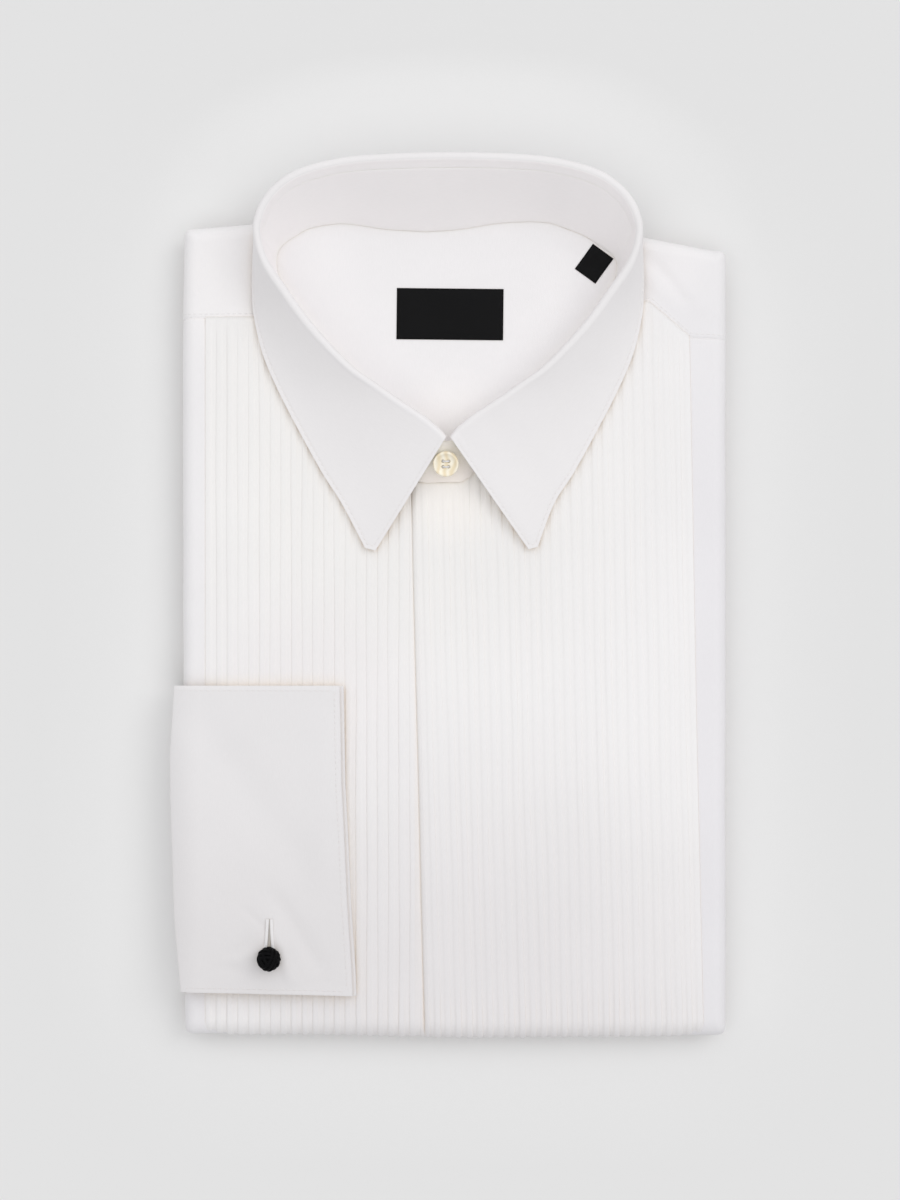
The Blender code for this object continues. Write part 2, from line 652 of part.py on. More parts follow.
def make_buttonhole_cutter():
    """A slot the length of the buttonhole, ending just past the knot's stem."""
    bpy.ops.mesh.primitive_cube_add(size=1.0)
    cutter = bpy.context.object
    cutter.name = "buttonhole_cutter"
    cutter.scale = (SLIT_WIDTH * MM, SLIT_LENGTH * MM, 30 * MM)
    cutter.location = (KNOT_CENTRE[0] * MM, (KNOT_CENTRE[1] + SLIT_LENGTH / 2 - 2.6) * MM, 24 * MM)
    cutter.hide_render = True
    cutter.display_type = "WIRE"
    for collection in cutter.users_collection:
        collection.objects.unlink(cutter)
    cutters.objects.link(cutter)
    return cutter


def make_sleeve(material):
    """The sleeve where it comes from the cuff round the body's left edge to the back."""
    profile = [(0.9, 14.4), (0.0, 12.6), (-0.2, 9.6), (0.0, 6.6), (0.5, 3.8), (0.9, 1.8),
               (1.2, 0.5)]
    rows = []
    for y in spread(CUFF_TOP_Y - 1.0, CUFF_BOTTOM_Y + 1.0, 7):
        clear = along(LEFT_EDGE, y) - SLEEVE_WALL - SEAM_GAP
        left = min(along(CUFF_LEFT, y) + 0.4, clear)
        rows.append([(min(left + out, clear + max(out, 0.0)), y, z) for out, z in profile])
    make_sheet("sleeve", rows, SLEEVE_WALL, -1, material)


def make_silk_knot(material):
    """Two knotted balls on one short stem: the outer one shows, the inner one is pressed flat."""
    sides = 16
    seat = cuff_upper_level() + TENT_HEIGHT + SEAM_GAP
    ball_z = seat + KNOT_RADIUS * math.sin(KNOT_SEAT_ANGLE)
    profile = []
    for degrees in (90, 65, 40, 15, -10):
        angle = math.radians(degrees)
        profile.append((KNOT_RADIUS * math.cos(angle), ball_z + KNOT_RADIUS * math.sin(angle)))
    profile.append((KNOT_RADIUS * math.cos(KNOT_SEAT_ANGLE), seat))
    inner_top = cuff_under_level() + TENT_HEIGHT - CUFF_WALL - 0.4
    inner_low = TOP_Z + CREST_LIFT + 0.35
    profile += [(KNOT_STEM, seat + 0.1), (KNOT_STEM, inner_top), (3.4, inner_top - 0.1),
                (4.4, (inner_top + inner_low) / 2), (3.4, inner_low + 0.1), (0.0, inner_low)]
    points = [(0.0, 0.0, profile[0][1])]
    for radius, z in profile[1:-1]:
        for i in range(sides):
            angle = 2 * math.pi * i / sides
            points.append((radius * math.cos(angle), radius * math.sin(angle), z))
    points.append((0.0, 0.0, profile[-1][1]))
    rings = len(profile) - 2
    faces = [tuple(1 + i for i in f)[::-1] for f in grid_faces(rings, sides, closed=True)]
    last = len(points) - 1
    for i in range(sides):
        faces.append((0, 1 + i, 1 + (i + 1) % sides))
        first = 1 + (rings - 1) * sides
        faces.append((last, first + (i + 1) % sides, first + i))
    obj = make_object("silk_knot", points, faces, material)
    obj.location = (KNOT_CENTRE[0] * MM, KNOT_CENTRE[1] * MM, 0.0)


def cuff_under_level():
    return TOP_Z + CREST_LIFT + 0.4 + CUFF_WALL


def cuff_upper_level():
    return cuff_under_level() + CUFF_GAP + CUFF_WALL


# ---- Labels -------------------------------------------------------------------------------------
def make_trim(name, centre, size, angle, material):
    """A small bare label lying on the inside of the yoke."""
    rows = []
    for v in spread(-0.5, 0.5, 3):
        row = []
        for u in spread(-0.5, 0.5, 5):
            x = centre[0] + u * size[0] * math.cos(angle) - v * size[1] * math.sin(angle)
            y = centre[1] + u * size[0] * math.sin(angle) + v * size[1] * math.cos(angle)
            row.append((x, y, inner_yoke_height(x, y) + SEAM_GAP))
        rows.append(row)
    make_sheet(name, rows, TRIM_WALL, 1, material)


# ---- Assembly -----------------------------------------------------------------------------------
for leftover in list(bpy.data.objects):
    bpy.data.objects.remove(leftover, do_unlink=True)

shirt = bpy.data.collections.new("folded_dress_shirt")
cutters = bpy.data.collections.new("cutters")
bpy.context.scene.collection.children.link(shirt)
bpy.context.scene.collection.children.link(cutters)

poplin = make_material("white_poplin", (0.86, 0.86, 0.85), 0.85)
bib_cloth = make_material("pleated_poplin", (0.88, 0.88, 0.86), 0.85)
collar_cloth = make_material("collar_poplin", (0.85, 0.84, 0.84), 0.8)
cuff_cloth = make_material("cuff_poplin", (0.84, 0.84, 0.84), 0.8)
inside_cloth = make_material("inside_poplin", (0.84, 0.83, 0.84), 0.85)
black_silk = make_material("black_silk", (0.01, 0.01, 0.012), 0.5)
black_satin = make_material("black_satin", (0.01, 0.01, 0.012), 0.35)
pearl = make_material("pearl_button", (0.82, 0.74, 0.6), 0.25)

make_folded_stack(poplin)
for side_name in ("left", "right"):
    make_front(side_name, poplin)
    make_bib(side_name, bib_cloth)
    make_yoke_shoulder(side_name, poplin)
make_yoke_inner(inside_cloth)
make_collar_stand(collar_cloth)
make_collar_leaf(collar_cloth)
make_collar_button(pearl)
buttonhole_cutter = make_buttonhole_cutter()
make_cuff_half("cuff_under", cuff_under_level(), 1.0, 0.0, cuff_cloth)
make_cuff_half("cuff_upper", cuff_upper_level(), 0.0, 0.1, cuff_cloth)
make_sleeve(poplin)
make_silk_knot(black_silk)
make_trim("neck_label", LABEL_CENTRE, LABEL_SIZE, 0.0, black_satin)
make_trim("size_tab", TAB_CENTRE, TAB_SIZE, TAB_ANGLE, black_satin)
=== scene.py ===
"""Looks of the folded pleated-bib dress shirt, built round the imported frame. Sizes are in millimetres
in the frame's axes (+Y towards the collar, +Z up) and become metres where a mesh is made."""
from math import cos, pi, radians, sin

import bpy
import numpy as np
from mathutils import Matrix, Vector
from mathutils.bvhtree import BVHTree


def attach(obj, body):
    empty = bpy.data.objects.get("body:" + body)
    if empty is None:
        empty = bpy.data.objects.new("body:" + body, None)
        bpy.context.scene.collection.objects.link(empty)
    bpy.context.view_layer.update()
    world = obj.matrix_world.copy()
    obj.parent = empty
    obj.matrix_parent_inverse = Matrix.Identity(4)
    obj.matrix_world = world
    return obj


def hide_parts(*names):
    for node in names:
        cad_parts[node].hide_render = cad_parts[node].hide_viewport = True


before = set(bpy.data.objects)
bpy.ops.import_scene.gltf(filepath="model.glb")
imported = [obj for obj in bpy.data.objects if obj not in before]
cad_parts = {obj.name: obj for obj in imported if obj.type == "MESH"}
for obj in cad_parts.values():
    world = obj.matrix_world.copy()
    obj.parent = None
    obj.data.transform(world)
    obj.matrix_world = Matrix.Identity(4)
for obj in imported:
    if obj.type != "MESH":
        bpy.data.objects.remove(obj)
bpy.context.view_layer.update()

# ---- Sizes, in millimetres ----
MM = 0.001
SIDE = {"left": -1, "right": 1}
CORE_RADIUS = 4.6
FOLD_CENTRE_Z = 11
TOP_Z = FOLD_CENTRE_Z + CORE_RADIUS
PANEL_LIFT = 1.5
BIB_LIFT = 3
RELIEF = 0.8
CREST_LIFT = BIB_LIFT + RELIEF
PANEL_FOLD = CORE_RADIUS + PANEL_LIFT
FRONT_LIFT = PANEL_LIFT - 0.05
BIB_FOLD = CORE_RADIUS + CREST_LIFT
PANEL_WALL = 0.7
BIB_WALL = 0.5

LEFT_PLEATS = 20
LEFT_PITCH = 4.73
LEFT_BIB_X = -106.9
RIGHT_PLEATS = 26
RIGHT_PLAIN = 2.6  # what is left of the last tuck at the fly's edge
RIGHT_SWAY = 0.55
SWAY_START = 184
SWAY_GROWTH = 50
PLEAT_SEAM = 0.64  # the share of its pitch at which a tuck is sewn down
FLY_RAISE = 0.8
FLY_WIDTH = 32
FLY_VALLEY = 0.38
VALLEY_REACH = 4
FLY_LIP = 1.15  # how far the fly's edge curls down onto the button side
LIP_REACH = 3
FLY_GAP = 0.45
NECK_RISE = 1.6
NECK_RISE_REACH = 34
NECK_CENTRE = (0, 62)

LEAF_WALL = 1.3
STAND_WALL = 1.2
ROLL_RADIUS = 1.5
FALL_POWER = 1.35
ROLL_COLUMNS = 14  # grid columns before a leaf starts to fall
LEAD_ROWS = 3  # grid rows between the stitching and the leading edge
EDGE_STITCH = 1.8
GROOVE_DEPTH = 0.16
STITCH_LENGTH = 1.9
STITCH_GAP = 0.6
STITCH_WIDTH = 0.3
LIP = 3.6
LIP_GAP = 0.1
LIP_FACES = 6
RIGHT_BAND_DROP = (11.5, 7, 9)  # the top band's lower edge stays low: middle x, reach, drop
RIGHT_SEAM_SHIFT = (1.6, 1.9)  # the neck seam runs a little further in at the wearer's left
SEAM_RISE = [(-78, 2), (-67, 1.7), (-58.5, 2), (-47, 2.5), (-36.5, 1.9), (-27, 1.2),
             (-10, 1.3), (5, 2.4), (18.5, 4), (27, 4.4), (36, 4), (45, 3), (54, 0.9),
             (62, 0)]  # and further back than an even curve where it crosses the yoke
SEAM_CORNER = (66, 152, 16)  # where it shifts most: x, y, reach
SEAM_RISE_Y = 144
STAND_ENDS = {  # from each half's last spot on to its end: lower edge (x, y), upper (x, y, z)
    "left": [((1, 51.2), (1, 68.2, 27.6))],
    "right": [((-4, 50.8), (-3, 68, 29.6)), ((-9, 50.6), (-8, 66.2, 28.9)),
              ((-12.6, 51), (-12.2, 64.2, 28.2)), ((-13.4, 53), (-13.2, 62.2, 27.6))],
}
BASE_LIFT_BACK = 2.2
BASE_LIFT_FRONT = 3.4
BASE_LAP = {"left": -0.3, "right": 1}
BUTTON_CENTRE = (-0.9, 58.7)
BUTTON_RADIUS = 5.7
BUTTON_THICK = 2.2
BUTTON_Z = 27.5
BUTTON_TILT = radians(13.5)
BUTTON_HOLE = 0.75
BUTTON_HOLE_SPREAD = 1.25
KNOT_CENTRE = (-78.5, -157.9)
KNOT_RADIUS = 5.7
KNOT_CORD = 0.82
KNOT_SEAT = 0.62  # how far the ball's middle lies above its flattened foot, in radii
KNOT_STEP = 1.65
KNOT_TILT = radians(54.7)
SLIT_LENGTH = 16.5
LABEL_SIZE = (47, 22.6)
LABEL_ANGLE = radians(-0.6)
LABEL_CENTRE = (0.9, 124.8)
TAB_SIZE = (13.6, 11.2)
TAB_CENTRE = (64.4, 147)
TAB_ANGLE = radians(54)

LEFT_EDGE = [(-186, -116.4), (-36, -117.2), (52, -117.2), (118, -117.3), (163, -116.4)]
RIGHT_EDGE = [(-188, 122.8), (150, 122.8)]
BOTTOM_EDGE = [(-113, -193.5), (-60, -193.5), (10, -194.9), (85, -194.4), (121, -194.1)]
TOP_EDGE = [(-117, 162.4), (-84, 165.2), (0, 166), (60, 163.6), (85, 159.5),
            (119, 152.9), (123, 151.4)]
FLY_EDGE = [(-193.4, -10.2), (-133, -11.9), (-76, -13.2), (5.5, -15.4), (48, -16.3),
            (54, -16.5)]
RIGHT_BIB_EDGE = [(-193.4, 112.6), (-60, 109.6), (109, 106.5), (131, 104.8)]
FLY_TOP_Y = 51
SIDE_X = 120  # a spot on the side fold, where a seam keeps its height
BODY_TOP_Y = 120
BODY_LENGTH = 300
BIB_TOP_Y = 114
YOKE_FOOT_Y = 115
YOKE_SIDE_Y = 140
YOKE_SEAM_X = 66.3
NECK_SIDE_X = 70
FLAT_ROWS = 150
FRONT_TURN = (16, 135)  # grid rows and degrees round the bottom fold
BIB_TURN = (18, 138)
SEAM_GAP = 0.3
SEAM_TUCK = 1  # how far the fronts and bib run in under the yoke
YOKE_LAP = 0.3
YOKE_OVER = 0.2
YOKE_EDGE_DROP = 0.75
YOKE_STITCH = 2.2
YOKE_STEP = 0.06  # how far the yoke stands above the bib where it is sewn in
FLY_UNDERLAP = 6
FLY_TURN_IN = 7.5
SEAM_PLAIN = 11  # the pleats only open this far below their seam, and the neck band
BAND_PLAIN = 4
BAND_REACH = 18
STRIP_DROP = 1.5
PLEAT_RELIEF = 0.36
UNDER_BIB_DROP = 0.5  # the front lies this much lower where the bib covers it
BIB_EDGE_DROP = 1.3  # how much lower the bib lies where it is sewn to the strip
BIB_EDGE_REACH = 14
SEAM_START_X = 66
SHOULDER_END_Y = 125.2
LEFT_YOKE_SEAM_Y = 122.7
RIGHT_YOKE_SEAM = [(66, 124.9), (88, 129.8), (107, 114), (123, 113.4)]

COLLAR_HALF = np.array([
    # base x, base y, roll x, roll y, roll z, edge x, edge y, edge z
    (0, 160, 0, 192.9, 46, 0, 184.6, 9),
    (-26, 161.2, -26, 192.2, 46, -25, 183.7, 9),
    (-45.5, 162.6, -45.5, 190.5, 45.6, -43.5, 182, 9.5),
    (-60, 161.2, -63, 186.2, 45, -60, 178.5, 10.5),
    (-67.5, 157.6, -73, 180.6, 44.2, -71, 174.5, 13.5),
    (-73, 153.6, -79.6, 173.2, 43.2, -79.5, 169.6, 17.6),
    (-75.6, 149.6, -83, 164.9, 42.4, -84.2, 159.8, 18.7),
    (-75.6, 143.8, -83, 157.2, 41.4, -85.6, 147.6, 18.7),
    (-72.6, 135, -79.6, 147.4, 40.2, -85.8, 135.3, 19.3),
    (-66.2, 125.2, -72, 136.5, 39, -85.2, 123.8, 19.9),
    (-55.6, 112.2, -59.6, 120, 37.8, -81.4, 107.2, 20.3),
    (-41.6, 97.2, -43, 102.6, 36.6, -74.4, 90.6, 20.3),
    (-28.4, 84.2, -30.6, 93.4, 35.6, -65.2, 72.8, 20.4),
    (-17.8, 73, -19, 85.2, 34.8, -55, 54.4, 20.6),
    (-10.8, 63.6, -10.2, 79.4, 34.2, -46.6, 41.2, 20.7),
    (-5.6, 55.4, -3.6, 73.9, 33.4, -36.4, 21.8, 20.8),
])
LEAF_FRONT = {"left": ((-0.5, 70.6, 33), (-31.9, 20.6, 20.9)),
              "right": ((0.8, 70.4, 33.4), (35.4, 21.2, 21.1))}
RIGHT_TIP_X = 39.4
COLLAR_FINE = 8  # grid rows for each row of the table
LEAD_COLUMNS = 8  # and beyond it, to the leading edge
INSIDE_CENTRE = np.array([0, 118])

# What is folded underneath: its layers' low and high side and inset, and how far it reaches.
UNDER_LAYERS = [(0.02, 1.5, 1), (1.6, 2.9, 1.6), (3, 4.5, 0.9)]
UNDER_TOP_Z = 5.2
UNDER_LEFT_X = -116.4
UNDER_RIGHT_X = 122.8
UNDER_LOW_Y = -193.5
UNDER_HIGH_Y = 156

CUFF_LEFT = [(-175.2, -117.5), (-158.2, -119.2), (-141.5, -120.6), (-116, -121.4),
             (-86.5, -122.4), (-69.7, -122.5), (-39, -120.6)]
CUFF_RIGHT = [(-175.8, -42.2), (-163, -42.7), (-133, -44.7), (-107.5, -45.8), (-82.5, -47.1),
              (-39.5, -47.9)]
CUFF_TOP_Y = -38.9
CUFF_BOTTOM_Y = -174.9
CUFF_BOTTOM = [(-120, -173.2), (-92, -173.5), (-66, -174.1), (-42, -174.9)]
CUFF_DROOP_START = -109
CUFF_DROOP = 4
CUFF_WALL = 2.2
CUFF_LAYER = 0.95
CUFF_GAP = 0.4
CUFF_AIR = 0.12
CUFF_STITCH = 2
SLEEVE_PROFILE = np.array([(1.6, 15.6), (0.7, 14.6), (0.1, 12.8), (-0.1, 9.6), (0.1, 6.6),
                           (0.5, 3.8), (0.9, 1.8), (1.2, 0.6)])
TENT_HEIGHT = 3
TENT_REACH = 20
CUFF_UNDER_Z = TOP_Z + CREST_LIFT + CUFF_GAP + CUFF_WALL
CUFF_UPPER_Z = CUFF_UNDER_Z + CUFF_GAP + CUFF_WALL

# Photograph's frame: the camera looks straight down on its middle.
CAMERA_X = 0.9
CAMERA_Y = -1.1
CAMERA_HEIGHT = 1600
SENSOR_WIDTH = 36
FRAME_HEIGHT = 528  # what the frame's long side covers at the shirt's top
SHIRT_TOP = 19
FLOOR_PAINTED_LIGHT_LEVELS = [(0.55, 0.8), (0.82, 0.83), (1, 0.758)]  # (how open to the sky, brightness): painted light, lighter where the shirt shades the floor, a little less so right at its edge
FLOOR_SHADE_REACH = 60
WORLD_STRENGTH = 0.62
LIGHTS = [
    # name, strength, softness in degrees, direction towards the light
    ("broad_window", 0.98, 110, (-0.03, 0.24, 0.96)),
    ("soft_key", 0.42, 34, (0.62, 0.38, 0.8)),
]

# Soft troughs (-) and ridges (+): x, y, length, width, direction in degrees, depth.
BODY_CREASES = [
    (-111.5, -2, 16, 2.4, 62, -0.28), (-110.5, 8, 18, 4, 70, 0.22),
    (-112, 60, 40, 3, 86, -0.12), (-100, 140, 42, 5, 96, -0.25),
    (-94, 138, 46, 5, 92, 0.25), (98, 139, 26, 2.8, -49, -0.75),
    (93, 136, 28, 3.2, -52, 0.5), (108, 131, 30, 4.5, -30, 0.4), (117, -60, 60, 3, 88, -0.15),
    (116, 40, 50, 3.5, 92, 0.14), (60, -120, 120, 22, 78, 0.35),
    (20, -60, 150, 26, 84, -0.3), (85, 20, 120, 20, 95, 0.25),
    (-60, 30, 120, 22, 88, 0.25), (-40, -60, 100, 16, 84, -0.2),
]
CUFF_CREASES = [
    (-67, -146, 42, 4.6, -57, -1.25), (-72.6, -156, 30, 3, -70, 1.05),
    (-87, -86, 96, 10, -54, -1.35), (-54, -100, 90, 8, 88, 1),
    (-106, -128, 90, 12, -84, 0.8), (-84.5, -141, 16, 2, -40, -0.35),
    (-88, -152, 22, 3.2, 40, -0.4), (-92, -158, 18, 2.6, 14, 0.35),
    (-90, -164, 22, 3, -12, -0.4), (-96, -60, 50, 9, 20, 0.5),
    (-60, -170, 26, 3, 4, -0.25),
]
SHADE_REACH = 7  # painted light: cotton's hollows are painted pale and warm, for the light cotton lets through
SHADE_TINT = (1.1, 1, 0.86)
PLAIN_SHADE_TINT = (1.06, 1, 0.93)
CLOUD_LEVELS = [(0.3, 0.98), (0.7, 1.01)]
PEARL_COLORS = [(0, (0.86, 0.74, 0.52)), (1, (0.96, 0.9, 0.76))]
CORD_COLORS = [(0, (0.002, 0.002, 0.002)), (1, (0.006, 0.006, 0.007))]

# Faint tints multiplied into the white cloth: middle, reach and colour it is multiplied by. Some are
# painted light and painted shade, as marked; the rest make the cloth a little warmer or darker in
# places.
BIB_TINTS_AND_PAINTED_LIGHT = [
    # a little warmer in the middle; painted light in the shaded triangle below the band
    ((-30, 70), 150, (1, 1, 0.985)), ((2, 50), 34, (1.07, 1.052, 1.03)),
    # darker towards the bottom edge, and a little darker on the left
    ((14, -202), 172, (0.885, 0.875, 0.882)), ((-60, -40), 60, (0.99, 0.98, 0.985)),
]
BODY_TINTS_PAINTED_LIGHT_AND_SHADE = [
    # painted light beside the collar on both shoulders, where the collar's shadow falls
    ((-86, 140), 50, (1.065, 1.06, 1.05)), ((90, 152), 34, (1.05, 1.045, 1.04)),
    # painted shade down the right side, for less light from the right; darker towards the bottom edge
    ((126, -30), 210, (0.968, 0.966, 0.98)), ((4, -215), 200, (0.9, 0.9, 0.915)),
]
CUFF_TINTS = [((-85, -182), 120, (0.945, 0.94, 0.94))]
# painted light inside the neck near the collar's front, where the leaves shade it
INSIDE_PAINTED_LIGHT = [((0, 72), 34, (1.06, 1.055, 1.045))]
# painted light on the band round the button, and paler, warmer painted light in its hollows, where the
# leaves shade it
BAND_PAINTED_LIGHT = [((0, 56), 34, (1.03, 0.99, 0.93))]
BAND_SHADE_TINT = (1.2, 1.07, 0.95)
INSIDE_CREASES = [
    (-35, 105, 60, 9, -48, -0.35), (30, 108, 60, 9, 50, 0.3),
    (0, 95, 40, 10, 88, -0.3), (50, 138, 40, 8, 60, -0.3),
    (-52, 140, 40, 8, -64, 0.25), (4, 150, 50, 6, 4, -0.2),
]


# ---- Number helpers ----
def along(table, at):
    rows = sorted(table)
    return np.interp(at, [r[0] for r in rows], [r[1] for r in rows])


def unit(v):
    return v / np.maximum(np.linalg.norm(v, axis=-1, keepdims=True), 1e-9)


def stacked(*coordinates):
    """Points from their coordinates, each given for all points or shared by some."""
    return np.stack(np.broadcast_arrays(*coordinates), -1)


def spans(points, axis):
    """Distances between neighbours along an axis of a grid of points."""
    return np.linalg.norm(np.diff(points, axis=axis), axis=-1)


def follow(at, run, values):
    """What values[row, k], known at the distances run, come to at other distances."""
    return np.stack([np.interp(at, run, column) for column in values.T], -1)


def whole(halves):
    """One grid from two halves that start at the same middle row."""
    return np.concatenate([halves[0][::-1], halves[1][1:]])


def paces(start, turn, end, first, second):
    """Numbers past a start, in even steps up to a turn and then in other steps to the end."""
    return np.concatenate([np.linspace(start, turn, first)[1:], np.linspace(turn, end, second)[1:]])


def extend(line, end, shares):
    """A line with more points on the straight way from its last one to an end."""
    return np.concatenate([line, line[-1] + (end - line[-1]) * shares])


def turned(points, angle, first, second):
    """Points turned from one axis towards another."""
    a, b = points[:, first], points[:, second]
    points = points.copy()
    points[:, first] = a * cos(angle) - b * sin(angle)
    points[:, second] = a * sin(angle) + b * cos(angle)
    return points


def ease(t):
    t = np.clip(t, 0, 1)
    return t * t * (3 - 2 * t)


def bell(t):
    return np.exp(-t ** 2)


def circle(steps):
    return np.linspace(0, 2 * pi, steps + 1)[:-1]


def creases(table, x, y):
    """Sum of soft troughs and ridges at each point."""
    total = np.zeros(np.broadcast(x, y).shape)
    for cx, cy, length, width, degrees, depth in table:
        angle = radians(degrees)
        run = (x - cx) * cos(angle) + (y - cy) * sin(angle)
        across = -(x - cx) * sin(angle) + (y - cy) * cos(angle)
        across = across + 0.06 * width * np.sin(run / length * 7)
        total = total + depth * bell(across / width) * np.exp(-(2 * run / length) ** 4)
    return total


def ripple(x, y, size, seed):
    """A smooth uneven field between about -1 and 1, from a few crossed waves."""
    total = np.zeros(np.broadcast(x, y).shape)
    rng = np.random.default_rng(seed)
    for _ in range(7):
        angle, phase, scale = rng.uniform(0, pi), rng.uniform(0, 6.28), rng.uniform(0.6, 1.7)
        k = 2 * pi / (size * scale)
        total = total + np.sin(k * (x * cos(angle) + y * sin(angle)) + phase)
    return total / 4


def spline(table, t):
    """Catmull-Rom through a table's rows at row numbers t."""
    last = len(table) - 1
    i = np.clip(np.floor(t).astype(int), 0, last - 1)
    f = (t - i)[:, None]
    p0, p1 = table[np.maximum(i - 1, 0)], table[i]
    p2, p3 = table[i + 1], table[np.minimum(i + 2, last)]
    return 0.5 * (2 * p1 + (p2 - p0) * f + (2 * p0 - 5 * p1 + 4 * p2 - p3) * f ** 2
                  + (3 * p1 - p0 - 3 * p2 + p3) * f ** 3)


# ---- Mesh helpers ----
def mesh_object(name, points, faces, uvs=None):
    """An object from points in millimetres, with its cloth coordinates as a UV map."""
    mesh = bpy.data.meshes.new(name)
    mesh.from_pydata((np.asarray(points) * MM).tolist(), [], faces)
    uvs = np.zeros((len(points), 2)) if uvs is None else uvs
    layer = mesh.uv_layers.new(name="cloth")
    index = np.zeros(len(mesh.loops), dtype=np.int32)
    mesh.loops.foreach_get("vertex_index", index)
    layer.data.foreach_set("uv", np.asarray(uvs, dtype=np.float32)[index].ravel())
    mesh.shade_smooth()
    obj = bpy.data.objects.new(name, mesh)
    bpy.context.scene.collection.objects.link(obj)
    return obj


def finish_piece(obj, material, stands_for=()):
    obj.data.materials.append(material)
    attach(obj, "root")
    if stands_for:
        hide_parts(*stands_for)


def quads(rows, cols, closed=False, looped=False, caps=False):
    """Faces of a grid of points; closed joins its last column to its first, looped its rows."""
    r = np.arange(rows if looped else rows - 1)[:, None]
    c = np.arange(cols if closed else cols - 1)[None, :]
    here, below, beside = r * cols, (r + 1) % rows * cols, (c + 1) % cols
    faces = stacked(here + c, here + beside, below + beside, below + c)
    faces = faces.reshape(-1, 4).tolist()
    if caps:
        faces += [list(range(cols))[::-1], list(range((rows - 1) * cols, rows * cols))]
    return faces


def grid_object(name, points, cloth=None, **joins):
    """A sheet from points[row, column]; cloth[row, column] are its flat coordinates."""
    if cloth is None:
        cloth = stacked(np.cumsum(np.pad(spans(points, 1), ((0, 0), (1, 0))), axis=1),
                        np.cumsum(np.pad(spans(points, 0), ((1, 0), (0, 0))), axis=0))
    faces = quads(*points.shape[:2], **joins)
    return mesh_object(name, points.reshape(-1, 3), faces, cloth.reshape(-1, 2))


def cloth_piece(name, points, wall, material, slot_name, stands_for=(), rim=0, **sheet):
    """A piece of cloth: its wall lies behind its points, or with a bevelled rim, on both sides."""
    obj = grid_object(name, points, **sheet)
    if not rim and sum(p.normal.z * p.area for p in obj.data.polygons) < 0:
        obj.data.flip_normals()
    solid = obj.modifiers.new("Wall", "SOLIDIFY")
    solid.thickness = wall * MM
    solid.offset = 0 if rim else -1
    solid.use_even_offset = False
    if rim:
        bevel = obj.modifiers.new("Rim", "BEVEL")
        bevel.width = rim * MM
        bevel.segments = 2
        bevel.limit_method = "ANGLE"
        bevel.angle_limit = radians(60)
    finish_piece(obj, material, stands_for)
    return obj


def tube(path, radius, sides=8, axes=None, looped=False):
    """Points and faces of a round tube along a path, capped unless it is a loop."""
    path = np.asarray(path, dtype=float)
    if axes is None:
        ahead = unit(np.gradient(path, axis=0))
        helper = (0.3, 0.1, 1) if abs(ahead[0, 2]) < 0.9 else (1, 0.2, 0)
        across = unit(np.cross(ahead, helper))
        axes = across, np.cross(ahead, across)
    across, over = (axis[:, None] for axis in axes)
    angles = circle(sides)[None, :, None]
    radius = np.broadcast_to(radius, len(path))[:, None, None]
    rings = path[:, None] + radius * (across * np.cos(angles) + over * np.sin(angles))
    return rings.reshape(-1, 3), quads(len(path), sides, True, looped, caps=not looped)


def lathe(profile, sides):
    """Points of a profile of (radius, height) turned about Z, a row for each of its points."""
    turn = circle(sides)
    radius, height = np.asarray(profile, dtype=float).T[:, :, None]
    return stacked(radius * np.cos(turn), radius * np.sin(turn), height)


def joined(name, parts):
    """One object from parts that each have points and faces."""
    points, faces = [], []
    for part_points, part_faces in parts:
        faces += [[len(points) + k for k in face] for face in part_faces]
        points += part_points.tolist()
    return mesh_object(name, points, faces)


def stitches(name, path, normals, material):
    """A row of sewn stitches along a path: short threads whose ends dip into the cloth."""
    run = np.cumsum(np.pad(spans(path, 0), (1, 0)))
    threads = []
    for start in np.arange(0.4, run[-1] - STITCH_LENGTH, STITCH_LENGTH + STITCH_GAP):
        at = start + np.array([0, 0.22, 0.78, 1]) * STITCH_LENGTH
        dip = np.array([-0.12, 0.03, 0.03, -0.12])[:, None]
        line = follow(at, run, path) + follow(at, run, normals) * dip
        threads.append(tube(line, STITCH_WIDTH / 2 * np.array([0.5, 1, 1, 0.5]), 6))
    finish_piece(joined(name, threads), material)


# ---- The folded body's form ----
def crown(angle):
    """How far cloth faces up where it has turned by an angle: 1 flat, 0 from upright on."""
    return np.cos(np.minimum(angle, pi / 2))


def fold_in(shares):
    """Angles round a fold from underneath, then shares across what lies flat."""
    folded = np.radians(np.linspace(150, 0, 25))
    return np.concatenate([folded, 0 * shares]), np.concatenate([0 * folded, shares])


def fold_down(steps, degrees):
    """Shares down what lies flat, then angles round the fold at its end, a row for each."""
    turns = np.radians(np.linspace(0, degrees, steps + 1)[1:])
    down = np.concatenate([np.linspace(0, 1, FLAT_ROWS), np.ones(steps)])[:, None]
    return down, np.concatenate([np.zeros(FLAT_ROWS), turns])[:, None]


def neck_rise(x, y):
    reach = np.hypot(x - NECK_CENTRE[0], y - NECK_CENTRE[1]) / NECK_RISE_REACH
    return NECK_RISE * bell(reach)


def side_centre(side, y):
    return along(LEFT_EDGE if side < 0 else RIGHT_EDGE, y) - side * PANEL_FOLD


def end_centre(end, x):
    return along(BOTTOM_EDGE, x) + BIB_FOLD if end < 0 else along(TOP_EDGE, x) - PANEL_FOLD


